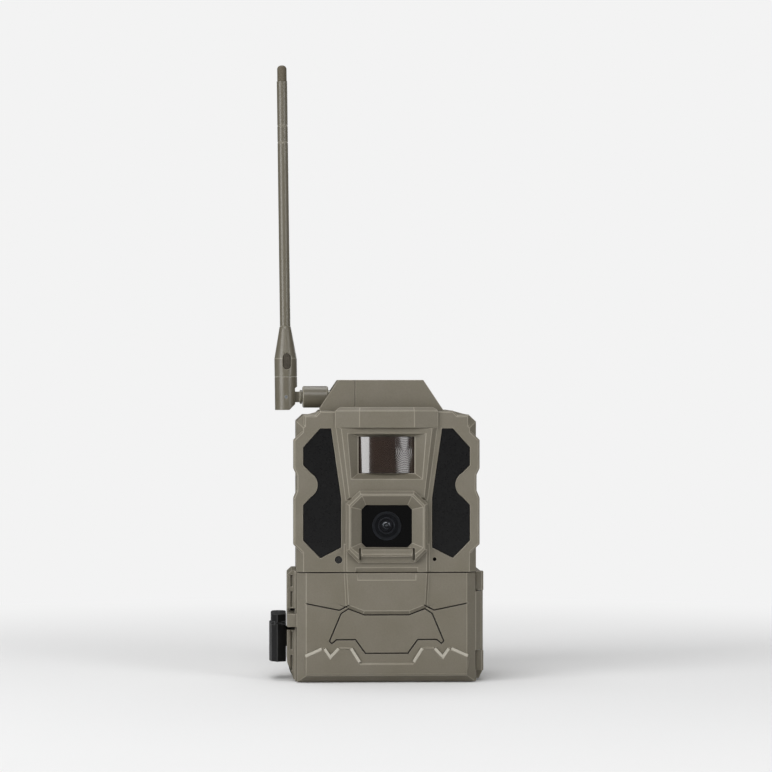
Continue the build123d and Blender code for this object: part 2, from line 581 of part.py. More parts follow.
with BuildPart() as latch_pin:
    rod(LATCH_PIN_R, (*LATCH_PIVOT, 9.2), UP, 21.2)

# ---------------------------------------------------------------- optics and sensing
with BuildPart() as ir_panel_right:
    back_y = PANEL_SEAT_Y - 0.1
    extrude(panel_outline(back_y, 1, SET_GAP), amount=back_y - PANEL_FRONT_Y)

with BuildPart() as ir_panel_left:
    add(mirror(ir_panel_right.part, about=Plane.YZ, mode=Mode.PRIVATE))

IR_BOARD_Y = (CAVITY_Y, CAVITY_Y + 1.2)
IR_LED_R = 1.2
IR_ROWS = {  # height of each row of emitters, with the places of its emitters out from the middle
    66: (25, 30),
    72: (25, 30, 35),
    78: (25, 30, 35),
    84: (25, 30),
    91: (26,),
    98: (26, 31),
    104: (27, 31, 35),
    110: (28, 32),
}

with BuildPart() as ir_boards:
    for side in (-1, 1):
        extrude(panel_outline(IR_BOARD_Y[1], side, 0.7), amount=IR_BOARD_Y[1] - IR_BOARD_Y[0])

with BuildPart() as ir_leds:
    for z, columns in IR_ROWS.items():
        for x in columns:
            for side in (-1, 1):
                rod(IR_LED_R, (side * x, IR_BOARD_Y[0], z), FORWARD, 0.9)

MOTION_LENS_HW = 12.6
MOTION_LENS_CREST_Y = -31.0
MOTION_LENS_WALL = 1.0

with BuildPart() as motion_lens:
    outer = MOTION_LENS_HW
    inner = MOTION_LENS_HW - MOTION_LENS_WALL
    inner_crest_y = MOTION_LENS_CREST_Y + MOTION_LENS_WALL
    with BuildSketch(Plane.XY.offset(MOTION_LENS_Z[0])):
        with BuildLine():
            ThreePointArc((-outer, CAVITY_Y), (0, MOTION_LENS_CREST_Y), (outer, CAVITY_Y))
            Line((outer, CAVITY_Y), (inner, CAVITY_Y))
            ThreePointArc((inner, CAVITY_Y), (0, inner_crest_y), (-inner, CAVITY_Y))
            Line((-inner, CAVITY_Y), (-outer, CAVITY_Y))
        make_face()
    extrude(amount=MOTION_LENS_Z[1] - MOTION_LENS_Z[0])
    slab(rectangle((-15.0, 15.0), (94.6, 115.4)), CAVITY_Y + 0.8, CAVITY_Y)
    slab(rectangle((-inner, inner), (97.7, 112.3)), CAVITY_Y + 1, CAVITY_Y - 0.1, Mode.SUBTRACT)

with BuildPart() as motion_sensor:
    rod(4.6, (0, BOARD_Y[0], 105.0), FORWARD, 4.2)
    fillet(motion_sensor.faces().sort_by(Axis.Y)[0].edges(), 0.6)
    block((-2.2, 2.2), (-18.6, -17.9), (103.4, 106.6), Mode.SUBTRACT)

with BuildPart() as lens_window:
    slab(LENS_WINDOW, LENS_SEAT_Y, LENS_WINDOW_Y + 0.1, grow=-0.1)

OPTICAL_AXIS = Axis((0, 0, LENS_Z), REARWARD)
BARREL_R = 8.2
BARREL_BACK_Y = -18.5
ELEMENT_R = 3.3
ELEMENT_SEAT_Y = -25.0
BARREL_PROFILE = [  # (y, radius), with a stepped rim and a cone down to the front element
    (BARREL_BACK_Y, 0),
    (BARREL_BACK_Y, BARREL_R),
    (-29.0, BARREL_R),
    (-29.6, 7.6),
    (-29.6, 6.6),
    (-29.85, 6.4),
    (-29.85, 6.0),
    (-28.2, ELEMENT_R + 0.1),
    (ELEMENT_SEAT_Y, ELEMENT_R + 0.1),
    (ELEMENT_SEAT_Y, 0),
]

with BuildPart() as lens_barrel:
    with BuildSketch(Plane(origin=OPTICAL_AXIS.position, x_dir=REARWARD, z_dir=(1, 0, 0))):
        Polygon(*BARREL_PROFILE, align=None)
    revolve(axis=OPTICAL_AXIS)

with BuildPart() as lens_front_element:
    rod(ELEMENT_R, (0, ELEMENT_SEAT_Y - 0.1, LENS_Z), FORWARD, 3.7)
    fillet(lens_front_element.faces().sort_by(Axis.Y)[0].edges(), 1.4)

with BuildPart() as camera_module:
    block((-8.6, 8.6), (-18.4, -15.0), (LENS_Z - 8.6, LENS_Z + 8.6))
    chamfer(camera_module.edges().filter_by(Axis.Y), 1.2)
    block((-11.0, 11.0), (-15.0, BOARD_Y[0]), (LENS_Z - 10.0, LENS_Z + 10.0))

with BuildPart() as light_sensor:
    rod(LIGHT_SENSOR_R, (LIGHT_SENSOR[0], -26.6, LIGHT_SENSOR[1]), FORWARD, 3.0)
    rod(2.4, (LIGHT_SENSOR[0], -26.6, LIGHT_SENSOR[1]), FORWARD, 0.8)

with BuildPart() as microphone:
    rod(2.4, (MICROPHONE[0], -25.4, MICROPHONE[1]), FORWARD, 1.9)

# ---------------------------------------------------------------- electronics
with BuildPart() as main_board:
    slab(octagon(31.2, (60.4, 120.4), 2.0), BOARD_Y[1], BOARD_Y[0])
    for x, z in BOARD_SCREWS:
        rod(BOARD_SCREW_R + 0.2, (x, BOARD_Y[0] - 1, z), REARWARD, 4.0, Mode.SUBTRACT)

with BuildPart() as board_screws:
    for x, z in BOARD_SCREWS:
        rod(1.8, (x, BOARD_Y[1], z), REARWARD, 1.2)
        rod(BOARD_SCREW_R - 0.02, (x, BOARD_Y[1] + 0.1, z), FORWARD, 7.0)

with BuildPart() as modem_module:
    block((-29.0, -4.0), (BOARD_Y[1], BOARD_Y[1] + 2.8), (84.0, 112.0))
    chamfer(modem_module.faces().sort_by(Axis.Y)[-1].edges(), 0.4)

with BuildPart() as board_chips:
    block((5.0, 21.0), (BOARD_Y[1], BOARD_Y[1] + 1.4), (66.0, 82.0))
    for z in (86.0, 97.0):
        block((6.0, 19.0), (BOARD_Y[1], BOARD_Y[1] + 1.1), (z, z + 9.0))

LEAD_R = 0.6
LEAD_ROUTE = [(-19.8, -4.0, 131.6), (-16.6, -4.0, 131.6), (-16.6, -4.0, 100.0), (-16.6, -9.6, 100.0)]

with BuildPart() as antenna_lead:
    with BuildLine():
        FilletPolyline(*LEAD_ROUTE, radius=[1.4, 2.4])
    with BuildSketch(Plane(origin=LEAD_ROUTE[0], z_dir=(1, 0, 0))):
        Circle(LEAD_R)
    sweep()

with BuildPart() as housing_gasket:
    extrude(seal_outline(SPLIT_Y + SEAL_DEPTH), amount=SEAL_DEPTH)
    block((-COLUMN_X, COLUMN_X), (SPLIT_Y - 1, SPLIT_Y + 2), (0, SEAL_END_Z + 0.1), Mode.SUBTRACT)

with BuildPart() as case_screws:
    for x, z in CASE_SCREWS:
        rod(CASE_SCREW_HEAD[0], (x, CASE_SCREW_SEAT_Y, z), REARWARD, CASE_SCREW_HEAD[1])
        rod(CASE_SCREW_R - 0.02, (x, CASE_SCREW_SEAT_Y + 0.1, z), FORWARD, 16.0)
        rod(1.2, (x, CASE_SCREW_SEAT_Y + 3.0, z), FORWARD, 1.4, Mode.SUBTRACT)

with BuildPart() as tripod_insert:
    rod(TRIPOD_INSERT_R, (0, BACK_Y + 1.0, TRIPOD_Z), FORWARD, 8.0)
    rod(TRIPOD_BORE_R, (0, BACK_Y + 2.0, TRIPOD_Z), FORWARD, 12.0, Mode.SUBTRACT)

# ---------------------------------------------------------------- charging port
with BuildPart() as charging_jack:
    block((PORT[0] - 3.5, PORT[0] + 3.5), (18.0, BAY_Y[1]), (PORT[1] - 4.5, PORT[1] + 6.0))
    rod(2.8, (PORT[0], BAY_Y[1] + 1, PORT[1]), FORWARD, 10.0, Mode.SUBTRACT)
    rod(1.0, (PORT[0], 20.0, PORT[1]), REARWARD, 9.4)

COVER_HINGE = (34.3, 22.0)  # in (y, z)
with BuildPart() as port_cover:
    slab(rectangle((31.1, 38.1), (8.4, 21.0)), BACK_Y + 1.9, BACK_Y + 0.15)
    fillet(port_cover.edges().filter_by(Axis.Y), 1.0)
    rod(2.6, (PORT[0], BACK_Y + 0.3, PORT[1]), FORWARD, 1.3)
    rod(0.8, (31.6, *COVER_HINGE), (1, 0, 0), 6.0)
    block((31.6, 37.6), (33.6, 34.9), (20.5, 22.0))

# ---------------------------------------------------------------- battery tray
CELL_ROWS_Y = 8.3  # middle row of the three
CELLS = [
    ((i - 1.5) * CELL_PITCH, CELL_ROWS_Y + (j - 1) * CELL_PITCH, (i + j) % 2)
    for i in range(4)
    for j in range(3)
]
CELL_NUB = (2.7, 1.3)  # radius and height of the positive end
CONTACT_R = 4.6
SEAL_GROOVE = 0.8
TRAY_X = 29.9
TRAY_Y = (-13.6, 30.1)
TRAY_TOP_Z = 57.0

with BuildPart() as battery_tray:
    block((-TRAY_X, TRAY_X), TRAY_Y, (0, TRAY_TOP_Z))
    chamfer(battery_tray.edges().filter_by(Axis.Z), 0.6)
    for x, y, _ in CELLS:
        rod(CELL_R + 0.08, (x, y, CELL_FLOOR_Z - 0.5), UP, CELL_LENGTH + 0.9, Mode.SUBTRACT)
    for y in ((TRAY_Y[0] - 1, -9.5), (26.0, TRAY_Y[1] + 1)):
        block((-28.6, 28.6), y, (CELL_FLOOR_Z + 4, 50.0), Mode.SUBTRACT)
    # Groove for the seal, all round the foot.
    for x in ((-TRAY_X - 1, -TRAY_X + SEAL_GROOVE), (TRAY_X - SEAL_GROOVE, TRAY_X + 1)):
        block(x, (TRAY_Y[0] - 1, TRAY_Y[1] + 1), (1.0, 2.2), Mode.SUBTRACT)
    for y in ((TRAY_Y[0] - 1, TRAY_Y[0] + SEAL_GROOVE), (TRAY_Y[1] - SEAL_GROOVE, TRAY_Y[1] + 1)):
        block((-TRAY_X - 1, TRAY_X + 1), y, (1.0, 2.2), Mode.SUBTRACT)

with BuildPart() as tray_seal:
    proud = 0.15
    inner = SEAL_GROOVE
    block((-TRAY_X - proud, TRAY_X + proud), (TRAY_Y[0] - proud, TRAY_Y[1] + proud), (1.1, 2.1))
    block((-TRAY_X + inner, TRAY_X - inner), (TRAY_Y[0] + inner, TRAY_Y[1] - inner), (0, 3), Mode.SUBTRACT)

with BuildPart() as aa_cells:
    nub_r, nub = CELL_NUB
    for x, y, flipped in CELLS:
        body_z = CELL_FLOOR_Z + (nub if flipped else 0.0)
        rod(CELL_R, (x, y, body_z), UP, CELL_LENGTH - nub)
        nub_z = CELL_FLOOR_Z if flipped else CELL_FLOOR_Z + CELL_LENGTH - nub - 0.1
        rod(nub_r, (x, y, nub_z), UP, nub + 0.1)

with BuildPart() as cell_contacts:
    for x, y, _ in CELLS:
        rod(CONTACT_R, (x, y, CELL_FLOOR_Z - 0.5), UP, 0.45)
        rod(CONTACT_R, (x, y, CELL_FLOOR_Z + CELL_LENGTH + 0.02), UP, 0.35)

with BuildPart() as bay_contacts:
    for x in (-22.0, 22.0):
        block((x - 3.0, x + 3.0), (2.0, 12.0), (BAY_TOP_Z - 0.35, BAY_TOP_Z))

# ---------------------------------------------------------------- control panel behind the door
PANEL_FACE_Y = -19.2
PANEL_REAR_Y = -17.7
PANEL_CUT_Y = (-17.0, -20.0)  # back and front of what is cut through the panel
SCREEN_X = (-33.0, 9.0)
SCREEN_Z = (14.0, 46.0)
SCREEN_SEAT_Y = -18.4
SCREEN_LIP = 1.6
KEYPAD = (21.5, 31.0)
KEYS = {"up": (0, 7.4), "down": (0, -7.4), "left": (-7.4, 0), "right": (7.4, 0), "ok": (0, 0)}
KEY_R = 2.9
SWITCH_X = 15.0
SWITCH_Z = 9.4
SWITCH_TRAVEL = 5.0
STATUS_X = (-28.0, -22.5, -17.0)
STATUS_R = 0.95
RELEASE_X = (-7.0, 3.0)
RELEASE_Z = (7.0, 11.0)
KEY_FLANGE_Y = (-17.6, -16.9)  # flange behind the panel that keeps a key in
KEY_FACE_Y = -20.2

with BuildPart() as control_panel:
    slab(octagon(38.7, (3.3, 48.3), 1.5), PANEL_REAR_Y, PANEL_FACE_Y)
    screen = rectangle(SCREEN_X, SCREEN_Z)
    slab(screen, SCREEN_SEAT_Y, PANEL_CUT_Y[1], Mode.SUBTRACT, grow=0.1)
    slab(screen, *PANEL_CUT_Y, Mode.SUBTRACT, grow=-SCREEN_LIP)
    for dx, dz in KEYS.values():
        rod(KEY_R + SET_GAP, (KEYPAD[0] + dx, -17.0, KEYPAD[1] + dz), FORWARD, 4.0, Mode.SUBTRACT)
    switch_slot = ((SWITCH_X - 2.2, SWITCH_X + 2.2 + SWITCH_TRAVEL), (SWITCH_Z - 1.7, SWITCH_Z + 1.7))
    card_slot = ((34.2, 36.8), (12.4, 37.6))
    release_slot = ((RELEASE_X[0] - 0.2, RELEASE_X[1] + 0.2), (RELEASE_Z[0] - 0.2, RELEASE_Z[1] + 0.2))
    for x, z in (switch_slot, card_slot, release_slot):
        slab(rectangle(x, z), *PANEL_CUT_Y, Mode.SUBTRACT)
    for x in STATUS_X:
        rod(STATUS_R + 0.05, (x, -17.0, SWITCH_Z), FORWARD, 4.0, Mode.SUBTRACT)


def round_key(dx, dz):
    """A keypad cap with a flange behind the panel."""
    with BuildPart() as key:
        x, z = KEYPAD[0] + dx, KEYPAD[1] + dz
        rod(KEY_R, (x, KEY_FLANGE_Y[0], z), FORWARD, KEY_FLANGE_Y[0] - KEY_FACE_Y)
        fillet(key.faces().sort_by(Axis.Y)[0].edges(), 0.5)
        rod(KEY_R + 0.55, (x, KEY_FLANGE_Y[1], z), FORWARD, KEY_FLANGE_Y[1] - KEY_FLANGE_Y[0])
    return key.part


keys = {name: round_key(*place) for name, place in KEYS.items()}

with BuildPart() as tray_release_key:
    block(RELEASE_X, (KEY_FACE_Y, -17.0), RELEASE_Z)
    fillet(tray_release_key.faces().sort_by(Axis.Y)[0].edges(), 0.5)
    flange = 0.8
    block(
        (RELEASE_X[0] - flange, RELEASE_X[1] + flange),
        KEY_FLANGE_Y,
        (RELEASE_Z[0] - flange, RELEASE_Z[1] + flange),
    )

with BuildPart() as power_switch:
    block((SWITCH_X - 2.0, SWITCH_X + 2.0), (KEY_FACE_Y, -17.0), (SWITCH_Z - 1.5, SWITCH_Z + 1.5))
    for x in (SWITCH_X - 1.0, SWITCH_X, SWITCH_X + 1.0):
        block((x - 0.2, x + 0.2), (-20.5, -19.9), (SWITCH_Z - 2, SWITCH_Z + 2), Mode.SUBTRACT)
    block((SWITCH_X - 3.0, SWITCH_X + 3.0), KEY_FLANGE_Y, (SWITCH_Z - 2.3, SWITCH_Z + 2.3))

with BuildPart() as status_lights:
    for x in STATUS_X:
        rod(STATUS_R, (x, -17.2, SWITCH_Z), FORWARD, 2.0)

with BuildPart() as screen_window:
    slab(rectangle(SCREEN_X, SCREEN_Z), SCREEN_SEAT_Y, PANEL_FACE_Y)

with BuildPart() as screen_module:
    frame = rectangle((SCREEN_X[0] - 1.0, SCREEN_X[1] + 1.0), (SCREEN_Z[0] - 1.5, SCREEN_Z[1] + 1.5))
    slab(frame, -16.1, PANEL_REAR_Y)

with BuildPart() as control_board:
    slab(rectangle((-37.0, 33.0), (5.0, 48.0)), -14.9, -16.0)

with BuildPart() as key_switches:
    for dx, dz in KEYS.values():
        rod(1.6, (KEYPAD[0] + dx, -16.0, KEYPAD[1] + dz), FORWARD, 0.45)

with BuildPart() as memory_card:
    block((34.5, 36.5), (-19.0, 12.0), (13.0, 37.0))
    with BuildSketch(side_plane(34.0)):
        Polygon((12.5, 37.5), (12.5, 33.5), (8.5, 37.5), align=None)
    extrude(amount=3.0, mode=Mode.SUBTRACT)

with BuildPart() as card_socket:
    block((32.9, 38.1), (-11.6, 16.5), (10.9, 39.1))
    block((34.3, 36.7), (-13.0, 13.5), (12.8, 37.2), Mode.SUBTRACT)

# ---------------------------------------------------------------- antenna
ANTENNA_LEAN = 0.75  # degrees that the whip leans outwards
NUT_X = (-38.4, -26.4)
NUT_R = 5.05
JACK_R = 3.1
STEM_R = 3.25
ARM_R = 5.25
ARM_FOOT = -6.1  # heights along the arm, from the pivot
ARM_SEAM = 9.4
ARM_SHOULDER = 18.0
ARM_TOP = 33.0
WHIP_TOP = 147.6
TIP_TOP = 155.0
WHIP_R = 2.45
TIP_R = 2.2
TONGUE = 4.0  # thickness of the stem's tongue, in the knuckle's slot
SLOT = 4.3
PIVOT_PIN_R = 0.8
SPIGOT = (1.95, 7.9)  # radius and length of the whip's end inside the sleeve
SLEEVE_RECESS = (7.6, 3.8, 1.2)  # length, width and depth
RECESS_PLACE = (0.5, 16.6)
WHIP_RINGS = (118.9, 126.7)

LEAN = math.radians(ANTENNA_LEAN)
ARM = Plane(
    origin=AERIAL,
    x_dir=(math.cos(LEAN), 0, math.sin(LEAN)),
    z_dir=(-math.sin(LEAN), 0, math.cos(LEAN)),
)
ARM_FACE = Plane(origin=AERIAL, x_dir=ARM.x_dir, z_dir=(0, -1, 0))  # local y runs up the arm


def turned(profile):
    """A piece turned about the arm's axis from an (radius, height) outline."""
    with BuildSketch(ARM_FACE) as half:
        Polygon(*profile, align=None)
    revolve(half.sketch, axis=Axis(origin=AERIAL, direction=ARM.z_dir))


def across_arm(depth, mode):
    """Carries the pending sketch on ARM_FACE both ways through the arm."""
    extrude(amount=depth, both=True, mode=mode)


with BuildPart() as antenna_jack:
    rod(JACK_R, (-20.0, *AERIAL[1:]), LEFT, 15.5)
    rod(1.0, (-36.0, *AERIAL[1:]), (1, 0, 0), 6.0, Mode.SUBTRACT)

with BuildPart() as antenna_nut:
    rod(NUT_R, (NUT_X[1], *AERIAL[1:]), LEFT, NUT_X[1] - NUT_X[0])
    chamfer(antenna_nut.edges().filter_by(GeomType.CIRCLE), 0.45)
    rod(JACK_R + 0.08, (NUT_X[1] + 1, *AERIAL[1:]), LEFT, 11.1, Mode.SUBTRACT)
    rod(2.28, (NUT_X[1] + 1, *AERIAL[1:]), LEFT, 15.0, Mode.SUBTRACT)

with BuildPart() as antenna_stem:
    rod(2.2, (-35.8, *AERIAL[1:]), LEFT, 4.0)
    rod(3.05, (-35.7, *AERIAL[1:]), LEFT, 0.6)
    rod(STEM_R, (-38.55, *AERIAL[1:]), LEFT, 1.1)
    tongue_y = (AERIAL[1] - TONGUE / 2, AERIAL[1] + TONGUE / 2)
    block((AERIAL[0], -39.5), tongue_y, (AERIAL[2] - 2.5, AERIAL[2] + 2.5))
    rod(4.2, (AERIAL[0], AERIAL[1] + TONGUE / 2, AERIAL[2]), FORWARD, TONGUE)
    rod(PIVOT_PIN_R + 0.06, (AERIAL[0], 5, AERIAL[2]), FORWARD, 20.0, Mode.SUBTRACT)

with BuildPart() as antenna_pin:
    rod(PIVOT_PIN_R, (AERIAL[0], AERIAL[1] + 4.9, AERIAL[2]), FORWARD, 9.95)

with BuildPart() as antenna_knuckle:
    turned([(0, ARM_FOOT), (ARM_R, ARM_FOOT), (ARM_R, ARM_SEAM), (0, ARM_SEAM)])
    cut_away = [(4.2, 4.0), (6.0, 5.4), (9, 5.4), (9, -9), (1.4, -9), (1.4, ARM_FOOT), (4.2, -3.4)]
    with BuildSketch(ARM_FACE):
        Polygon(*cut_away, align=None)
    across_arm(9, Mode.SUBTRACT)
    with BuildSketch(ARM_FACE):
        Circle(4.5)
        Polygon((-3.0, 0), (-3.0, -9), (9, -9), (9, 3.0), (0, 3.0), align=None)
    across_arm(SLOT / 2, Mode.SUBTRACT)
    rod(PIVOT_PIN_R, (AERIAL[0], AERIAL[1] + 8, AERIAL[2]), FORWARD, 16.0, Mode.SUBTRACT)

with BuildPart() as antenna_sleeve:
    foot = ARM_SEAM + 0.05
    turned([(0, foot), (ARM_R, foot), (ARM_R, ARM_SHOULDER), (2.6, ARM_TOP), (0, ARM_TOP)])
    length, width, depth = SLEEVE_RECESS
    with BuildSketch(ARM_FACE.offset(ARM_R - depth)):
        with Locations(RECESS_PLACE):
            SlotOverall(length, width, rotation=90)
    extrude(amount=6.0, mode=Mode.SUBTRACT)
    mouth = ARM.origin + ARM.z_dir * (ARM_TOP + 1)
    rod(SPIGOT[0] + 0.05, tuple(mouth), tuple(ARM.z_dir), -SPIGOT[1] - 1.1, Mode.SUBTRACT)

with BuildPart() as antenna_whip:
    groove = 0.25
    end, foot = ARM_TOP - SPIGOT[1], ARM_TOP + 0.05
    profile = [(0, end), (SPIGOT[0], end), (SPIGOT[0], foot), (WHIP_R, foot)]
    for height in WHIP_RINGS:
        profile += [(WHIP_R, height - 0.3), (WHIP_R - groove, height), (WHIP_R, height + 0.3)]
    profile += [(WHIP_R, WHIP_TOP), (0, WHIP_TOP)]
    turned(profile)

with BuildPart() as antenna_tip:
    turned([(0, WHIP_TOP + 0.05), (TIP_R, WHIP_TOP + 0.05), (TIP_R, TIP_TOP), (0, TIP_TOP)])
    fillet(antenna_tip.faces().sort_by(Axis.Z)[-1].edges(), TIP_R - 0.4)

# ---------------------------------------------------------------- written pieces
pieces = {
    "rear_housing": rear_housing,
    "front_housing": front_housing,
    "top_cover": top_cover,
    "antenna_block": antenna_block,
    "housing_gasket": housing_gasket,
    "front_door": front_door,
    "door_trim": door_trim,
    "door_gasket": door_gasket,
    "hinge_pin": hinge_pin,
    "latch_lever": latch_lever,
    "latch_pin": latch_pin,
    "ir_panel_left": ir_panel_left,
    "ir_panel_right": ir_panel_right,
    "ir_boards": ir_boards,
    "ir_leds": ir_leds,
    "motion_lens": motion_lens,
    "motion_sensor": motion_sensor,
    "lens_window": lens_window,
    "lens_barrel": lens_barrel,
    "lens_front_element": lens_front_element,
    "camera_module": camera_module,
    "light_sensor": light_sensor,
    "microphone": microphone,
    "main_board": main_board,
    "board_screws": board_screws,
    "modem_module": modem_module,
    "board_chips": board_chips,
    "antenna_lead": antenna_lead,
    "case_screws": case_screws,
    "tripod_insert": tripod_insert,
    "charging_jack": charging_jack,
    "port_cover": port_cover,
    "battery_tray": battery_tray,
    "tray_seal": tray_seal,
    "aa_cells": aa_cells,
    "cell_contacts": cell_contacts,
    "bay_contacts": bay_contacts,
    "control_panel": control_panel,
    "tray_release_key": tray_release_key,
    "power_switch": power_switch,
    "status_lights": status_lights,
    "screen_window": screen_window,
    "screen_module": screen_module,
    "control_board": control_board,
    "key_switches": key_switches,
    "memory_card": memory_card,
    "card_socket": card_socket,
    "antenna_jack": antenna_jack,
    "antenna_nut": antenna_nut,
    "antenna_stem": antenna_stem,
    "antenna_pin": antenna_pin,
    "antenna_knuckle": antenna_knuckle,
    "antenna_sleeve": antenna_sleeve,
    "antenna_whip": antenna_whip,
    "antenna_tip": antenna_tip,
}

os.makedirs("parts", exist_ok=True)
solids = {name: piece.part for name, piece in pieces.items()}
solids.update({f"key_{name}": key for name, key in keys.items()})
for name, solid in solids.items():
    solid.label = name
    export_step(solid, f"parts/{name}.step")
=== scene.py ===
"""Looks of the trail camera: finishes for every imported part, its optics in fine detail, and a pale
studio."""

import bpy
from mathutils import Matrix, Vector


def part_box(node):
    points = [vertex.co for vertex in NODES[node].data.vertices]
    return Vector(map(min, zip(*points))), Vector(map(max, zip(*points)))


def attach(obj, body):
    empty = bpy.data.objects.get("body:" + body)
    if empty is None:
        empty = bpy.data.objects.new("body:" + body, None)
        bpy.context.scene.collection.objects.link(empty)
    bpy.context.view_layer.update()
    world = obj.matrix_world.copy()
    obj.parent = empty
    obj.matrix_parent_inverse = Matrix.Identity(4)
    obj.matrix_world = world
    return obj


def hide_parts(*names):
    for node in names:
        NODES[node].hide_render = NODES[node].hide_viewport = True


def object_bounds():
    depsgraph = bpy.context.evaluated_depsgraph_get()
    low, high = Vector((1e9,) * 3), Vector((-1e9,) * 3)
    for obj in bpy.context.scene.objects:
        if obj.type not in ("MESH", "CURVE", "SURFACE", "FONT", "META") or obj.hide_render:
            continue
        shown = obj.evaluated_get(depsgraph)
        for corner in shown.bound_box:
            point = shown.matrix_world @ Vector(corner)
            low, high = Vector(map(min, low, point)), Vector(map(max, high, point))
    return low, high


bl_info = {
    "name": "Trail camera looks",
    "version": (1, 0, 0),
    "blender": (4, 5, 0),
    "location": "View3D > Sidebar > Trail camera",
    "description": "Finishes for the trail camera's shells, optics, antenna and controls, in a pale studio",
    "category": "Object",
}

import math

import bmesh
import bpy
from mathutils import Vector

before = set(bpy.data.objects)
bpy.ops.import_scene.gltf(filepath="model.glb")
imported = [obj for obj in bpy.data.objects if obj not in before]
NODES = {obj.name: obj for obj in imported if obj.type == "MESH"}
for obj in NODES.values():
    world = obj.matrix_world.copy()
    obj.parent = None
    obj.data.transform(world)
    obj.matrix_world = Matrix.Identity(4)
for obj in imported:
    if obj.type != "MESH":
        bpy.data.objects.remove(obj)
CAD_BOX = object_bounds()
MM = 0.001
PAPER_RADIUS = 0.6
BLOTCH = 16.0  # width of the slow drift of tone in a moulding, in millimetres
NOISE_SPAN = {"From Min": 0.3, "From Max": 0.7}  # where the values of soft noise mostly lie
COLOUR_MIX = {"data_type": "RGBA"}
FACTOR, FIRST, SECOND, BLENDED = 0, 6, 7, 2  # the colour mix node's three inputs and its output


# ------------------------------------------------------------------ helpers
def linear(code):
    """The linear colour of an sRGB hex value."""
    levels = [int(code[start : start + 2], 16) / 255 for start in (0, 2, 4)]
    return tuple(v / 12.92 if v <= 0.04045 else ((v + 0.055) / 1.055) ** 2.4 for v in levels) + (1.0,)


def add_node(tree, kind, settings=None, inputs=None):
    """Adds a node, sets its own settings, then fills its inputs with values or links."""
    made = tree.nodes.new(kind)
    for name, value in (settings or {}).items():
        setattr(made, name, value)
    for key, value in (inputs or {}).items():
        if isinstance(value, bpy.types.NodeSocket):
            tree.links.new(value, made.inputs[key])
        else:
            made.inputs[key].default_value = value
    return made


def shared(maker):
    """The material that a maker function gives, made once and named after the function."""
    return bpy.data.materials.get(maker.__name__) or maker(maker.__name__)


def new_material(name):
    """An empty material, its node tree, and coordinates fixed to the part, in metres."""
    material = bpy.data.materials.new(name)
    material.use_nodes = True
    tree = material.node_tree
    tree.nodes.clear()
    coordinates = add_node(tree, "ShaderNodeTexCoord").outputs["Object"]
    return material, tree, coordinates


def show(tree, shader):
    """Sends a shader to the material's output."""
    add_node(tree, "ShaderNodeOutputMaterial", inputs={"Surface": shader.outputs[0]})


def grained(name, tones, roughness, grain, relief, constants=None):
    """A material that drifts between two hex tones, with an even grain.

    grain is the width of one grain and relief its height, in millimetres. constants go straight to the shader.
    """
    material, tree, coordinates = new_material(name)
    first, second, fleck = (linear(code) for code in tones)
    slow = {"Vector": coordinates, "Scale": 1 / (BLOTCH * MM), "Detail": 4.0, "Roughness": 0.6}
    drift = add_node(tree, "ShaderNodeTexNoise", inputs=slow).outputs["Fac"]
    fine = {"Vector": coordinates, "Scale": 1 / (grain * MM), "Detail": 1.0}
    speck = add_node(tree, "ShaderNodeTexNoise", inputs=fine).outputs["Fac"]
    drifted = add_node(tree, "ShaderNodeMapRange", inputs={"Value": drift, **NOISE_SPAN}).outputs[0]
    flecking = {"Value": speck, **NOISE_SPAN, "To Max": 0.16}
    flecked = add_node(tree, "ShaderNodeMapRange", inputs=flecking).outputs[0]
    sheen = {"To Min": roughness - 0.05, "To Max": roughness + 0.05}
    dulled = add_node(tree, "ShaderNodeMapRange", inputs={"Value": speck, **NOISE_SPAN, **sheen}).outputs[0]
    tone = add_node(tree, "ShaderNodeMix", COLOUR_MIX, {FACTOR: drifted, FIRST: first, SECOND: second})
    shades = {FACTOR: flecked, FIRST: tone.outputs[BLENDED], SECOND: fleck}
    shade = add_node(tree, "ShaderNodeMix", COLOUR_MIX, shades).outputs[BLENDED]
    bump = add_node(tree, "ShaderNodeBump", inputs={"Height": speck, "Strength": 1.0, "Distance": relief * MM})
    inputs = {"Base Color": shade, "Roughness": dulled, "Normal": bump.outputs[0]}
    show(tree, add_node(tree, "ShaderNodeBsdfPrincipled", inputs={**inputs, **(constants or {})}))
    return material


# ------------------------------------------------------------------ materials: plastics
def spark_eroded_abs(name):
    """Warm taupe ABS moulded in a spark-eroded tool: matt, with a fine even sparkle instead of a
    reflection."""
    # The real grit is about 0.1 mm; 0.7 mm is the finest that still shows.
    look = bpy.context.scene.trail_camera_shell
    constants = {"IOR": 1.53}
    return grained(name, ("777164", "706a5b", "5d584b"), look.roughness, look.grain / MM, 0.020, constants)


def abs_edge_highlight(name):
    """The same ABS, paler and a little smoother, on the rounded edges: a painted highlight, so that each edge
    reads as a thin line."""
    return grained(name, ("938d80", "8b8475", "7c7665"), 0.42, 0.7, 0.006, {"IOR": 1.53})


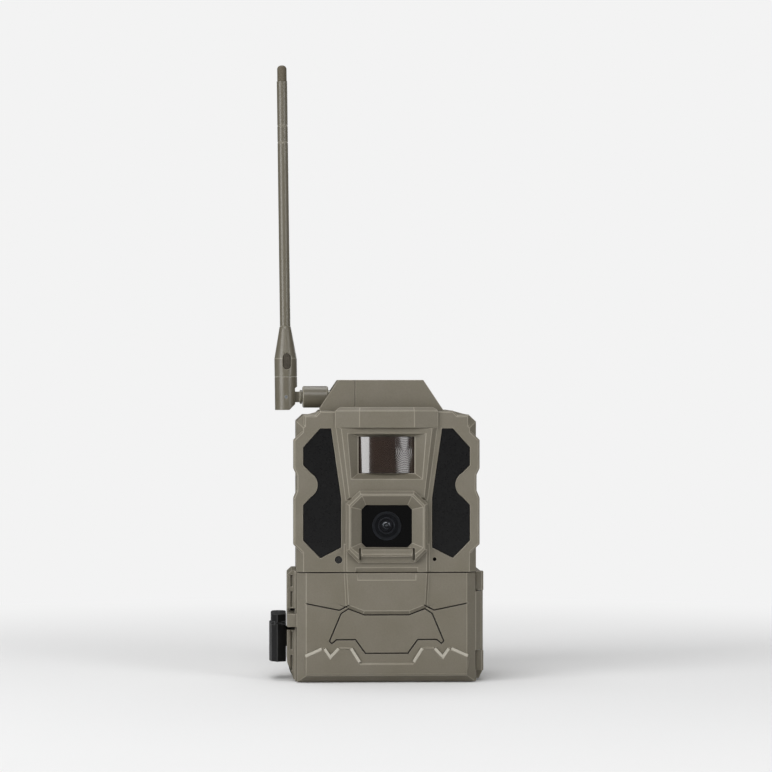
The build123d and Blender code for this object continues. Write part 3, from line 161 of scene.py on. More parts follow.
def paint_shade_in_cut_lines(material):
    """Paints shade into the lines cut into the door's face: every surface a little behind the face takes a
    darker tone, a painted shade, so that the lines read as dark strokes."""
    tree = material.node_tree
    shader = tree.nodes["Principled BSDF"]
    tone = shader.inputs["Base Color"].links[0].from_socket
    panel_seat = 0.3 * MM  # how far the panels lie behind the flat face
    cut_from, cut_to = 0.05 * MM, 0.9 * MM  # depths behind the face where a cut line lies
    side_margin, foot_margin = 3.6 * MM, 2.6 * MM  # the door's rim, which has no cut lines
    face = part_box("ir_panel_left")[0].y - panel_seat
    seal_low, seal_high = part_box("door_gasket")
    side = seal_high.x - side_margin
    place = tree.nodes["Texture Coordinate"].outputs["Object"]
    parts = add_node(tree, "ShaderNodeSeparateXYZ", inputs={0: place})
    out = add_node(tree, "ShaderNodeMath", {"operation": "ABSOLUTE"}, {0: parts.outputs["X"]})
    tests = (
        ("GREATER_THAN", parts.outputs["Y"], face + cut_from),
        ("LESS_THAN", parts.outputs["Y"], face + cut_to),
        ("LESS_THAN", out.outputs[0], side),
        ("GREATER_THAN", parts.outputs["Z"], seal_low.z + foot_margin),
    )
    inside = 1.0
    for operation, value, limit in tests:
        passed = add_node(tree, "ShaderNodeMath", {"operation": operation}, {0: value, 1: limit})
        both = add_node(tree, "ShaderNodeMath", {"operation": "MULTIPLY"}, {0: inside, 1: passed.outputs[0]})
        inside = both.outputs[0]
    # Painted shade: every surface inside a cut line takes a dark brown tone.
    groove_shade = {FACTOR: inside, FIRST: tone, SECOND: linear("38342d")}
    shaded_tone = add_node(tree, "ShaderNodeMix", COLOUR_MIX, groove_shade).outputs[BLENDED]
    tree.links.new(shaded_tone, shader.inputs["Base Color"])
    return material


def engraved_abs(name):
    """The case's ABS on the door, with painted shade in its cut lines."""
    return paint_shade_in_cut_lines(spark_eroded_abs(name))


def engraved_edge_highlight(name):
    """The door's rounded edges in a paler tone, a painted highlight, with painted shade where they turn down
    into a cut line.
    """
    return paint_shade_in_cut_lines(abs_edge_highlight(name))


def satin_antenna_abs(name):
    """Antenna ABS from a finer tool: more satin than the case, so that its rounds carry long soft
    highlights."""
    constants = {"IOR": 1.53, "Coat Weight": 0.25, "Coat Roughness": 0.3}
    return grained(name, ("6d685b", "676152", "565145"), 0.36, 0.6, 0.008, constants)


def antenna_edge_highlight(name):
    """Antenna ABS, paler, on the rounded rims: a painted highlight."""
    return grained(name, ("938e80", "898475", "7a7565"), 0.34, 0.6, 0.004, {"IOR": 1.53})


def soft_tip_elastomer(name):
    """Browner soft end cap in thermoplastic elastomer: dull, with no clear highlight."""
    return grained(name, ("665e4e", "5f5747", "4c4639"), 0.7, 0.5, 0.012, {"IOR": 1.5})


def speckled_elastomer(name):
    """Dark soft insert with pale flecks ground into it: dull, and rough to the eye."""
    return grained(name, ("4a4439", "38332b", "7a7365"), 0.72, 0.45, 0.03, {"IOR": 1.5})


def two_shot_pale_abs(name):
    """Pale ABS inlays in the door: a lighter second shot with a faint satin skin."""
    return grained(name, ("bab5a8", "b2ada0", "a19c8f"), 0.5, 0.6, 0.008, {"IOR": 1.53})


def infrared_acrylic(name):
    """Infrared-pass acrylic: black to the eye, moulded satin so that it shows only a dull grey sheen."""
    constants = {"IOR": 1.49, "Specular IOR Level": 0.35}
    return grained(name, ("0c0c0d", "0f0f0f", "131313"), 0.32, 0.6, 0.003, constants)


def black_nylon(name):
    """Glass-filled black nylon: nearly black, semi-gloss, with a slightly flowing grain."""
    dull = {"IOR": 1.53, "Specular IOR Level": 0.28}
    return grained(name, ("090909", "0b0b0c", "131414"), 0.46, 0.8, 0.008, dull)


def nylon_edge_highlight(name):
    """Black nylon in a dark grey on the rounded edges: a painted highlight that draws each edge as a line."""
    return grained(name, ("2a2b2b", "252626", "363737"), 0.36, 0.8, 0.003, {"IOR": 1.53})


def charcoal_abs(name):
    """Charcoal ABS of the inner mouldings: matt, fine-grained and colder than the case."""
    return grained(name, ("2b2b2a", "262625", "1d1d1c"), 0.55, 0.7, 0.014, {"IOR": 1.53})


def charcoal_edge_highlight(name):
    """Charcoal ABS, a shade paler, on the rounded edges of trays and panels: a painted highlight."""
    return grained(name, ("484745", "403f3d", "353432"), 0.45, 0.7, 0.004, {"IOR": 1.53})


def moulded_silicone(name):
    """Black silicone seals and flaps: velvety, because the soft skin scatters light at the rim."""
    sheen = {"IOR": 1.43, "Sheen Weight": 0.25, "Sheen Roughness": 0.4}
    return grained(name, ("191919", "1e1e1d", "262625"), 0.62, 0.9, 0.010, sheen)


def keypad_silicone(name):
    """Grey silicone key tops: matt, softly lit from every side."""
    sheen = {"IOR": 1.43, "Sheen Weight": 0.2, "Sheen Roughness": 0.4}
    return grained(name, ("55544f", "4e4d48", "403f3b"), 0.58, 0.5, 0.008, sheen)


def light_pipe_acrylic(name):
    """Frosted acrylic light pipes: milky, with some light carried under the skin."""
    frosted = {"IOR": 1.49, "Subsurface Weight": 0.4, "Subsurface Radius": (0.002, 0.002, 0.002)}
    return grained(name, ("c9cdc4", "bfc4bb", "a9ada4"), 0.35, 0.4, 0.004, frosted)


def smoked_epoxy(name):
    """Smoked epoxy of light-emitting diodes and sensors: dark glass with a sharp little highlight."""
    constants = {"IOR": 1.55, "Coat Weight": 0.4}
    return grained(name, ("161513", "1c1b19", "2a2926"), 0.25, 0.9, 0.020, constants)


# ------------------------------------------------------------------ materials: optics
def fresnel_polyethylene(name):
    """Brown infrared-pass polyethylene: waxy gloss, dark, with slight depth from the light that it
    takes in."""
    waxy = {"IOR": 1.53, "Coat Weight": 1.0, "Coat Roughness": 0.04, "Coat IOR": 1.65}
    return grained(name, ("2c1e15", "261a12", "33251b"), 0.16, 0.35, 0.002, waxy)


def masked_window_glass(name):
    """Flat glass over the camera: a gloss-black printed border, and a clear eye in front of the lens."""
    material, tree, coordinates = new_material(name)
    low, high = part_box("lens_barrel")
    centre = (low + high) / 2
    eye_share = 0.82  # of the barrel's radius
    eye = eye_share * (high.x - low.x) / 2
    wiped = {"Vector": coordinates, "Scale": 1 / (9.0 * MM), "Detail": 3.0}
    smear = add_node(tree, "ShaderNodeTexNoise", inputs=wiped).outputs["Fac"]
    clear = add_node(tree, "ShaderNodeBsdfTransparent", inputs={"Color": linear("eceef0")})
    glass_gloss = {"Value": smear, **NOISE_SPAN, "To Min": 0.02, "To Max": 0.06}
    ink_gloss = {"Value": smear, **NOISE_SPAN, "To Min": 0.05, "To Max": 0.09}
    polish = add_node(tree, "ShaderNodeMapRange", inputs=glass_gloss).outputs[0]
    print_polish = add_node(tree, "ShaderNodeMapRange", inputs=ink_gloss).outputs[0]
    sheen = add_node(tree, "ShaderNodeBsdfGlossy", inputs={"Color": linear("f4f6ff"), "Roughness": polish})
    skin = add_node(tree, "ShaderNodeFresnel", inputs={"IOR": 1.46})
    layers = {0: skin.outputs[0], 1: clear.outputs[0], 2: sheen.outputs[0]}
    glass = add_node(tree, "ShaderNodeMixShader", inputs=layers)
    printing = {"Base Color": linear("060606"), "Roughness": print_polish, "IOR": 1.46}
    ink = add_node(tree, "ShaderNodeBsdfPrincipled", inputs=printing)
    axis = (centre.x, low.y, centre.z)
    offset = add_node(tree, "ShaderNodeVectorMath", {"operation": "SUBTRACT"}, {0: coordinates, 1: axis})
    across = {0: offset.outputs[0], 1: (1, 0, 1)}
    flat = add_node(tree, "ShaderNodeVectorMath", {"operation": "MULTIPLY"}, across)
    away = add_node(tree, "ShaderNodeVectorMath", {"operation": "LENGTH"}, {0: flat.outputs[0]})
    limit = {0: away.outputs["Value"], 1: eye}
    printed = add_node(tree, "ShaderNodeMath", {"operation": "GREATER_THAN"}, limit)
    window = {0: printed.outputs[0], 1: glass.outputs[0], 2: ink.outputs[0]}
    show(tree, add_node(tree, "ShaderNodeMixShader", inputs=window))
    return material


def coated_lens_glass(name):
    """Ground and coated lens glass: deep smoky grey with a faint violet bloom, and bright small
    reflections."""
    material, tree, coordinates = new_material(name)
    clouds = {"Vector": coordinates, "Scale": 1 / (4.0 * MM)}
    bloom = add_node(tree, "ShaderNodeTexNoise", inputs=clouds).outputs["Fac"]
    spread = add_node(tree, "ShaderNodeMapRange", inputs={"Value": bloom, **NOISE_SPAN}).outputs[0]
    greys = {FACTOR: spread, FIRST: linear("2b2a2b"), SECOND: linear("332f33")}
    depth = add_node(tree, "ShaderNodeMix", COLOUR_MIX, greys).outputs[BLENDED]
    constants = {"IOR": 1.7, "Roughness": 0.04, "Coat Weight": 1.0, "Coat Roughness": 0.02, "Coat IOR": 2.2}
    show(tree, add_node(tree, "ShaderNodeBsdfPrincipled", inputs={"Base Color": depth, **constants}))
    return material


def turned_black_acetal(name):
    """Black acetal turned on a lathe: dark grey satin, with fine ring lines that catch the light
    as arcs."""
    material, tree, coordinates = new_material(name)
    low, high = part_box("lens_barrel")
    centre = (low + high) / 2
    offset = add_node(tree, "ShaderNodeVectorMath", {"operation": "SUBTRACT"}, {0: coordinates, 1: centre})
    ring_pitch = 0.45 * MM
    lathe = add_node(
        tree,
        "ShaderNodeTexWave",
        {"wave_type": "RINGS", "rings_direction": "Y"},
        {"Vector": offset.outputs[0], "Scale": 1 / ring_pitch / 20, "Distortion": 0.0},
    )
    bump = add_node(tree, "ShaderNodeBump", inputs={"Height": lathe.outputs["Fac"], "Distance": 0.012 * MM})
    greys = {FACTOR: lathe.outputs["Fac"], FIRST: linear("323234"), SECOND: linear("454547")}
    tone = add_node(tree, "ShaderNodeMix", COLOUR_MIX, greys).outputs[BLENDED]
    inputs = {"Base Color": tone, "Normal": bump.outputs[0], "Roughness": 0.34, "IOR": 1.48}
    show(tree, add_node(tree, "ShaderNodeBsdfPrincipled", inputs=inputs))
    return material


def flocked_black(name):
    """Matt black paint inside the optics: takes in nearly all light, to keep stray light off the sensor."""
    return grained(name, ("08080a", "0b0b0c", "111112"), 0.85, 0.4, 0.01, {"IOR": 1.45})


# ------------------------------------------------------------------ materials: metals
def zinc_plated_steel(name):
    """Zinc-plated steel: bluish white metal with small spangle and soft reflections."""
    return grained(name, ("a9acae", "9b9ea1", "84878a"), 0.32, 0.8, 0.004, {"Metallic": 1.0})


def tinned_steel(name):
    """Pressed tin-plated steel cans: brighter and smoother than zinc, faintly clouded."""
    return grained(name, ("bfbeba", "b3b2ae", "a2a19d"), 0.24, 1.5, 0.003, {"Metallic": 1.0})


def nickel_plated_brass(name):
    """Brass of the antenna connector under a dull nickel plating: grey metal with a faint warm cast."""
    return grained(name, ("8d8a83", "827f78", "6b6862"), 0.34, 0.6, 0.004, {"Metallic": 1.0})


def turned_brass(name):
    """Turned brass: yellow metal with a dull bloom from handling."""
    return grained(name, ("b8945a", "a98750", "8d7040"), 0.3, 0.6, 0.004, {"Metallic": 1.0})


# ------------------------------------------------------------------ materials: electronics
def solder_masked_board(name):
    """Green solder mask over copper: glossy, with traces that stand out as paler lines."""
    material, tree, coordinates = new_material(name)
    traces = add_node(
        tree,
        "ShaderNodeTexBrick",
        {"offset": 0.37, "squash": 1.6},
        {
            "Vector": coordinates,
            "Scale": 1 / (6.0 * MM),
            "Mortar Size": 0.03,
            "Color1": linear("123a22"),
            "Color2": linear("0e3320"),
            "Mortar": linear("2c6a3c"),
        },
    )
    bump = add_node(tree, "ShaderNodeBump", inputs={"Height": traces.outputs["Fac"], "Distance": 0.03 * MM})
    constants = {"Roughness": 0.28, "IOR": 1.5}
    inputs = {"Base Color": traces.outputs["Color"], "Normal": bump.outputs[0], **constants}
    show(tree, add_node(tree, "ShaderNodeBsdfPrincipled", inputs=inputs))
    return material


def moulded_black_epoxy(name):
    """Black epoxy of packaged chips and cable jackets: dull with a fine grit."""
    return grained(name, ("1a1a1b", "202021", "2b2b2c"), 0.5, 0.5, 0.01, {"IOR": 1.55})


def shrink_sleeve(name):
    """Printed shrink sleeve on the battery cells: a glossy dark body with a plain green shoulder band."""
    material, tree, coordinates = new_material(name)
    height = add_node(tree, "ShaderNodeSeparateXYZ", inputs={0: coordinates}).outputs["Z"]
    low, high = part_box("aa_cells")
    shoulder = 0.32  # share of the cell's height that the band covers
    band_foot = high.z - shoulder * (high.z - low.z)
    band = add_node(tree, "ShaderNodeMath", {"operation": "GREATER_THAN"}, {0: height, 1: band_foot})
    waves = {"Vector": coordinates, "Scale": 1 / (5.0 * MM)}
    ripple = add_node(tree, "ShaderNodeTexNoise", inputs=waves).outputs["Fac"]
    greys = {FACTOR: ripple, FIRST: linear("34373a"), SECOND: linear("3c4043")}
    body = add_node(tree, "ShaderNodeMix", COLOUR_MIX, greys).outputs[BLENDED]
    layers = {FACTOR: band.outputs[0], FIRST: body, SECOND: linear("4f7a4a")}
    printed = add_node(tree, "ShaderNodeMix", COLOUR_MIX, layers).outputs[BLENDED]
    bump = add_node(tree, "ShaderNodeBump", inputs={"Height": ripple, "Distance": 0.05 * MM})
    gloss = {"Roughness": 0.22, "IOR": 1.54, "Coat Weight": 0.3}
    inputs = {"Base Color": printed, "Normal": bump.outputs[0], **gloss}
    show(tree, add_node(tree, "ShaderNodeBsdfPrincipled", inputs=inputs))
    return material


def display_acrylic(name):
    """Screen window: black-backed gloss acrylic, with the sleeping display's area a shade greyer."""
    material, tree, coordinates = new_material(name)
    low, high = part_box("screen_window")
    centre = (low + high) / 2
    local = add_node(tree, "ShaderNodeVectorMath", {"operation": "SUBTRACT"}, {0: coordinates, 1: centre})
    size = add_node(tree, "ShaderNodeVectorMath", {"operation": "ABSOLUTE"}, {0: local.outputs[0]}).outputs[0]
    parts = add_node(tree, "ShaderNodeSeparateXYZ", inputs={0: size})
    border = 2.5 * MM
    reach = high - centre
    sideways = {0: parts.outputs["X"], 1: reach.x - border}
    upright = {0: parts.outputs["Z"], 1: reach.z - border}
    across = add_node(tree, "ShaderNodeMath", {"operation": "LESS_THAN"}, sideways)
    along = add_node(tree, "ShaderNodeMath", {"operation": "LESS_THAN"}, upright)
    both = {0: across.outputs[0], 1: along.outputs[0]}
    lit = add_node(tree, "ShaderNodeMath", {"operation": "MULTIPLY"}, both)
    cells = {"Vector": coordinates, "Scale": 1 / (0.6 * MM)}
    mottle = add_node(tree, "ShaderNodeTexNoise", inputs=cells).outputs["Fac"]
    greys = {FACTOR: mottle, FIRST: linear("16191b"), SECOND: linear("1d2123")}
    display = add_node(tree, "ShaderNodeMix", COLOUR_MIX, greys).outputs[BLENDED]
    areas = {FACTOR: lit.outputs[0], FIRST: linear("050505"), SECOND: display}
    tone = add_node(tree, "ShaderNodeMix", COLOUR_MIX, areas).outputs[BLENDED]
    inputs = {"Base Color": tone, "Roughness": 0.06, "IOR": 1.49, "Coat Weight": 0.5, "Coat Roughness": 0.03}
    show(tree, add_node(tree, "ShaderNodeBsdfPrincipled", inputs=inputs))
    return material


# ------------------------------------------------------------------ finishing CAD nodes
def joined_skin():
    """Node group that marks the edges where a CAD node's faces meet, then joins the faces into one
    smooth skin."""
    name = "joined_skin"
    if name in bpy.data.node_groups:
        return bpy.data.node_groups[name]
    tree = bpy.data.node_groups.new(name, "GeometryNodeTree")
    tree.interface.new_socket("Geometry", in_out="INPUT", socket_type="NodeSocketGeometry")
    tree.interface.new_socket("Geometry", in_out="OUTPUT", socket_type="NodeSocketGeometry")
    start = add_node(tree, "NodeGroupInput").outputs[0]
    faces = add_node(tree, "GeometryNodeInputMeshEdgeNeighbors").outputs[0]
    border = add_node(tree, "FunctionNodeCompare", {"data_type": "INT", "operation": "EQUAL"}, {2: faces, 3: 1})
    marked = add_node(
        tree,
        "GeometryNodeStoreNamedAttribute",
        {"data_type": "FLOAT", "domain": "EDGE"},
        {"Geometry": start, "Name": "bevel_weight_edge", "Value": border.outputs[0]},
    )
    merge = {"Geometry": marked.outputs[0], "Distance": 0.001 * MM}
    joined = add_node(tree, "GeometryNodeMergeByDistance", inputs=merge)
    skin = {"Geometry": joined.outputs[0], "Shade Smooth": True}
    smooth = add_node(tree, "GeometryNodeSetShadeSmooth", inputs=skin)
    add_node(tree, "NodeGroupOutput", inputs={0: smooth.outputs[0]})
    return tree


def finish(name, body_maker, edge_maker, radius):
    """Gives a CAD node its material, and rounds its edges by radius metres in the edge material; where that is
    paler than the body, it is a painted highlight.
    """
    node = NODES[name]
    node.data.materials.clear()
    node.data.materials.append(shared(body_maker))
    node.data.materials.append(shared(edge_maker))
    node.modifiers.new("joined skin", "NODES").node_group = joined_skin()
    rounds = node.modifiers.new("rounded edges", "BEVEL")
    rounds.limit_method = "WEIGHT"
    rounds.width = radius
    rounds.segments = 2
    # The rounded edges take the second material, which is the painted-highlight tone where it is paler.
    rounds.material = 1
    rounds.loop_slide = False
    rounds.use_clamp_overlap = False
    node.modifiers.new("even shading", "WEIGHTED_NORMAL").keep_sharp = True


def paint(name, maker):
    """Gives a CAD node its material and leaves its edges as they are."""
    node = NODES[name]
    node.data.materials.clear()
    node.data.materials.append(shared(maker))


# ------------------------------------------------------------------ new pieces
def add_piece(name, body, mesh, makers, stands_for=()):
    """Turns a bmesh into a smooth piece that rides on a CAD body and, where named, stands for CAD nodes."""
    data = bpy.data.meshes.new(name)
    mesh.to_mesh(data)
    mesh.free()
    data.shade_smooth()
    for maker in makers:
        data.materials.append(shared(maker))
    piece = bpy.data.objects.new(name, data)
    bpy.context.scene.collection.objects.link(piece)
    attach(piece, body)
    if stands_for:
        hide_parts(*stands_for)
    return piece


def turned(profile, centre, segments):
    """A bmesh turned about a line along Y through centre, from (radius, y) points in metres."""
    mesh = bmesh.new()
    rings = []
    for radius, y in profile:
        ring = []
        for step in range(segments):
            angle = 2 * math.pi * step / segments
            x = centre.x + radius * math.cos(angle)
            z = centre.z + radius * math.sin(angle)
            ring.append(mesh.verts.new((x, y, z)))
        rings.append(ring)
    for first, second in zip(rings, rings[1:]):
        for step in range(segments):
            after = (step + 1) % segments
            mesh.faces.new((first[step], first[after], second[after], second[step]))
    mesh.faces.new(reversed(rings[0]))
    mesh.faces.new(rings[-1])
    bmesh.ops.recalc_face_normals(mesh, faces=mesh.faces)
    return mesh


def crease(piece, degrees):
    """Keeps edges that turn by more than an angle sharp in the shading, on a piece made here."""
    mesh = bmesh.new()
    mesh.from_mesh(piece.data)
    for edge in mesh.edges:
        edge.smooth = len(edge.link_faces) == 2 and edge.calc_face_angle() < math.radians(degrees)
    mesh.to_mesh(piece.data)
    mesh.free()


# ------------------------------------------------------------------ properties
class TrailCameraShell(bpy.types.PropertyGroup):
    edge_radius: bpy.props.FloatProperty(
        name="Edge radius",
        description="Radius of the moulded outer edges",
        default=0.22 * MM,
        subtype="DISTANCE",
        unit="LENGTH",
    )
    fine_edge_radius: bpy.props.FloatProperty(
        name="Fine edge radius",
        description="Radius of the edges of small parts",
        default=0.12 * MM,
        subtype="DISTANCE",
        unit="LENGTH",
    )
    grain: bpy.props.FloatProperty(
        name="Grain",
        description="Width of one grain of the moulded texture",
        default=0.7 * MM,
        subtype="DISTANCE",
        unit="LENGTH",
    )
    roughness: bpy.props.FloatProperty(
        name="Roughness",
        description="Roughness of the case plastic",
        default=0.58,
        min=0.0,
        max=1.0,
        subtype="FACTOR",
    )


class TrailCameraOptics(bpy.types.PropertyGroup):
    ring_pitch: bpy.props.FloatProperty(
        name="Ring pitch",
        description="Width of one ring of the motion lens",
        default=0.8 * MM,
        subtype="DISTANCE",
        unit="LENGTH",
    )
    ring_depth: bpy.props.FloatProperty(
        name="Ring depth",
        description="Depth of one ring of the motion lens",
        default=0.036 * MM,
        subtype="DISTANCE",
        unit="LENGTH",
    )
    lens_columns: bpy.props.IntProperty(
        name="Lens columns",
        description="Lens fields side by side on the motion lens",
        default=3,
        min=1,
        max=7,
    )


class TrailCameraStudio(bpy.types.PropertyGroup):
    backdrop: bpy.props.FloatVectorProperty(
        name="Backdrop",
        description="Colour of the backdrop",
        default=linear("f3f3f3")[:3],
        size=3,
        subtype="COLOR",
    )
    distance: bpy.props.FloatProperty(
        name="Camera distance",
        description="From the camera to the front of the case",
        default=1.4,
        subtype="DISTANCE",
        unit="LENGTH",
    )
    turn: bpy.props.FloatProperty(
        name="Camera turn",
        description="How far the camera stands to the left of square-on",
        default=math.radians(2.3),
        subtype="ANGLE",
        unit="ROTATION",
    )
    aim_height: bpy.props.FloatProperty(
        name="Aim height",
        description="Height that the level camera looks at",
        default=0.1367,
        subtype="DISTANCE",
        unit="LENGTH",
    )
    focal_length: bpy.props.FloatProperty(
        name="Focal length",
        description="Focal length on a 36 mm sensor, in millimetres",
        default=142.0,
    )


# ------------------------------------------------------------------ operators
class TRAIL_CAMERA_OT_studio(bpy.types.Operator):
    """Makes the pale floor and backdrop, the soft lights and the camera"""

    bl_idname = "trail_camera.studio"
    bl_label = "Studio"

    def softbox(self, name, place, target, width, height, radiance):
        """A rectangular light that faces target, of even brightness."""
        lamp = bpy.data.lights.new(name, "AREA")
        lamp.shape = "RECTANGLE"
        lamp.size = width
        lamp.size_y = height
        lamp.energy = radiance * math.pi * width * height
        light = bpy.data.objects.new(name, lamp)
        light.location = place
        light.rotation_euler = (Vector(target) - Vector(place)).to_track_quat("-Z", "Y").to_euler()
        bpy.context.scene.collection.objects.link(light)

    def floor_material(self, colour):
        """Matt white paper near the object, which turns into the even backdrop further out."""
        material, tree, coordinates = new_material("seamless_paper")
        pulp = {"Vector": coordinates, "Scale": 1 / (3.0 * MM), "Detail": 4.0}
        fibre = add_node(tree, "ShaderNodeTexNoise", inputs=pulp).outputs["Fac"]
        whites = {FACTOR: fibre, FIRST: linear("e9e9e9"), SECOND: linear("e7e7e7")}
        tone = add_node(tree, "ShaderNodeMix", COLOUR_MIX, whites).outputs[BLENDED]
        paper = add_node(tree, "ShaderNodeBsdfDiffuse", inputs={"Color": tone, "Roughness": 0.5})
        far = add_node(tree, "ShaderNodeEmission", inputs={"Color": (*colour, 1.0), "Strength": 1.0})
        length = add_node(tree, "ShaderNodeVectorMath", {"operation": "LENGTH"}, {0: coordinates})
        fade = add_node(
            tree,
            "ShaderNodeMapRange",
            {"interpolation_type": "SMOOTHSTEP"},
            {"Value": length.outputs["Value"], "From Min": 0.2 * PAPER_RADIUS, "From Max": 0.9 * PAPER_RADIUS},
        )
        sheet = {0: fade.outputs[0], 1: paper.outputs[0], 2: far.outputs[0]}
        show(tree, add_node(tree, "ShaderNodeMixShader", inputs=sheet))
        return material

    def backdrop_material(self, colour):
        """Evenly lit white paper."""
        material, tree, _ = new_material("lit_backdrop")
        show(tree, add_node(tree, "ShaderNodeEmission", inputs={"Color": (*colour, 1.0), "Strength": 1.0}))
        return material

    def execute(self, context):
        look = context.scene.trail_camera_studio
        context.scene.view_settings.view_transform = "Standard"

        far_radius, dome_radius = 8.0, 9.0
        sink = 0.5 * MM  # how far the far floor lies under the paper
        paper = bmesh.new()
        bmesh.ops.create_circle(paper, cap_ends=True, segments=128, radius=PAPER_RADIUS)
        ground = bmesh.new()
        bmesh.ops.create_circle(ground, cap_ends=True, segments=128, radius=far_radius)
        bmesh.ops.translate(ground, verts=ground.verts, vec=(0.0, 0.0, -sink))
        dome = bmesh.new()
        bmesh.ops.create_icosphere(dome, subdivisions=4, radius=dome_radius)
        backdrop = self.backdrop_material(look.backdrop)
        for name, mesh, material in (
            ("floor", paper, self.floor_material(look.backdrop)),
            ("far_floor", ground, backdrop),
            ("backdrop", dome, backdrop),
        ):
            data = bpy.data.meshes.new(name)
            mesh.to_mesh(data)
            mesh.free()
            data.materials.append(material)
            stage = bpy.data.objects.new(name, data)
            context.scene.collection.objects.link(stage)
            if name != "floor":
                stage.visible_diffuse = False
                stage.visible_glossy = False
                stage.visible_transmission = False
                stage.visible_shadow = False

        world = bpy.data.worlds.new("studio_air")
        world.use_nodes = True
        air = world.node_tree.nodes["Background"]
        air.inputs["Color"].default_value = linear("f6f7f8")
        air.inputs["Strength"].default_value = 0.13
        context.scene.world = world

        case_middle = (CAD_BOX[0].x + CAD_BOX[1].x) / 2 + 0.004  # the latch widens the box on one side
        case_face = -0.03
        lit_height = 0.09
        front = Vector((case_middle, case_face, look.aim_height))
        middle = (front.x, 0.0, lit_height)
        for name, place, width, height, radiance in (
            ("left softbox", (-0.80, -0.655, 0.30), 0.54, 0.62, 4.9),
            ("right softbox", (0.655, -0.76, 0.30), 0.38, 0.60, 3.4),
            ("front softbox", (-0.20, -0.95, 0.90), 0.80, 0.55, 3.7),
            ("top softbox", (-0.15, 0.25, 1.25), 0.90, 0.90, 2.7),
            ("back softbox", (0.55, 1.20, 0.55), 0.80, 0.80, 1.6),
        ):
            self.softbox(name, place, middle, width, height, radiance)

        lens = bpy.data.cameras.new("camera")
        lens.lens = look.focal_length
        lens.sensor_width = 36.0
        camera = bpy.data.objects.new("camera", lens)
        back = Vector((-math.sin(look.turn), -math.cos(look.turn), 0.0))
        camera.location = front + back * look.distance
        camera.rotation_euler = (-back).to_track_quat("-Z", "Y").to_euler()
        context.scene.collection.objects.link(camera)
        context.scene.camera = camera
        return {"FINISHED"}


class TRAIL_CAMERA_OT_case(bpy.types.Operator):
    """Finishes the case shells, the hump, the door and their seals and fasteners"""

    bl_idname = "trail_camera.case"
    bl_label = "Case and door"

    def execute(self, context):
        look = context.scene.trail_camera_shell
        for name in ("rear_housing", "front_housing", "top_cover", "antenna_block"):
            finish(name, spark_eroded_abs, abs_edge_highlight, look.edge_radius)
        finish("front_door", engraved_abs, engraved_edge_highlight, look.edge_radius)
        finish("door_trim", two_shot_pale_abs, two_shot_pale_abs, look.fine_edge_radius)
        for name in ("housing_gasket", "door_gasket", "tray_seal"):
            finish(name, moulded_silicone, moulded_silicone, look.fine_edge_radius)
        finish("port_cover", moulded_silicone, moulded_silicone, look.fine_edge_radius)
        finish("latch_lever", black_nylon, nylon_edge_highlight, look.edge_radius)
        for name in ("hinge_pin", "latch_pin", "case_screws"):
            finish(name, zinc_plated_steel, zinc_plated_steel, look.fine_edge_radius / 2)
        finish("tripod_insert", turned_brass, turned_brass, look.fine_edge_radius / 2)
        finish("charging_jack", black_nylon, nylon_edge_highlight, look.fine_edge_radius)
        return {"FINISHED"}


class TRAIL_CAMERA_OT_illuminators(bpy.types.Operator):
    """Finishes the two infrared panels, their diodes and boards, the light sensor and the microphone"""

    bl_idname = "trail_camera.illuminators"
    bl_label = "Illuminators and sensors"

    def execute(self, context):
        look = context.scene.trail_camera_shell
        for name in ("ir_panel_left", "ir_panel_right"):
            finish(name, infrared_acrylic, infrared_acrylic, look.fine_edge_radius)
        paint("ir_leds", smoked_epoxy)
        paint("ir_boards", solder_masked_board)
        paint("light_sensor", smoked_epoxy)
        paint("microphone", flocked_black)
        return {"FINISHED"}


class TRAIL_CAMERA_OT_motion_lens(bpy.types.Operator):
    """Makes the bowed motion lens with its ring grooves, and finishes the sensor behind it"""

    bl_idname = "trail_camera.motion_lens"
    bl_label = "Motion lens"

    def execute(self, context):
        look = context.scene.trail_camera_optics
        low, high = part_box("motion_lens")
        centre = (low + high) / 2
        flange = 2.4 * MM
        lip = 2.1 * MM
        thickness = 0.8 * MM
        half_width = (high.x - low.x) / 2 - flange
        flat = high.y - thickness
        rise = flat - low.y
        bow = (half_width**2 + rise**2) / (2 * rise)
        reach = math.asin(half_width / bow)
        columns = 150
        rows = 100
        field = 2 * half_width / look.lens_columns
        eye_height = centre.z + 1.6 * MM
        growth = 0.85  # how much deeper the grooves are in each field to the right
        slow, steep = 0.8, 0.2  # shares of a ring's width that rise and drop
        step_gap = 0.01 * MM  # width of the step between the flange and the bowed window

        def groove(x, z):
            """Depth of the ring grooves at a place: slow rise, steep drop, and deeper in each
            field to the right."""
            column = round((x - centre.x) / field)
            away = math.hypot(x - centre.x - column * field, z - eye_height)
            turn = (away / look.ring_pitch) % 1.0
            deepened = 1.0 + growth * column
            return look.ring_depth * deepened * min(turn / slow, (1 - turn) / steep)

        across = [low.x, centre.x - half_width - step_gap]
        across += [centre.x + bow * math.sin(reach * (2 * i / columns - 1)) for i in range(columns + 1)]
        across += [centre.x + half_width + step_gap, high.x]
        bottom, top = low.z + lip, high.z - lip
        along = [low.z, bottom - step_gap]
        along += [bottom + (top - bottom) * i / rows for i in range(rows + 1)]
        along += [top + step_gap, high.z]

        mesh = bmesh.new()
        grid = []
        for x in across:
            line = []
            for z in along:
                y = flat
                if abs(x - centre.x) <= half_width * 1.00001 and bottom <= z <= top:
                    bowed = math.sqrt(bow**2 - (x - centre.x) ** 2)
                    y = low.y + bow - bowed + groove(x, z)
                line.append(mesh.verts.new((x, y, z)))
            grid.append(line)
        for left, right in zip(grid, grid[1:]):
            for i in range(len(along) - 1):
                mesh.faces.new((left[i], right[i], right[i + 1], left[i + 1]))
        lens = add_piece(
            "fresnel_motion_lens",
            "case",
            mesh,
            [fresnel_polyethylene],
            ["motion_lens"],
        )
        shell = lens.modifiers.new("sheet", "SOLIDIFY")
        shell.thickness = thickness
        shell.offset = -1.0
        crease(lens, 30)

        paint("motion_sensor", tinned_steel)
        return {"FINISHED"}


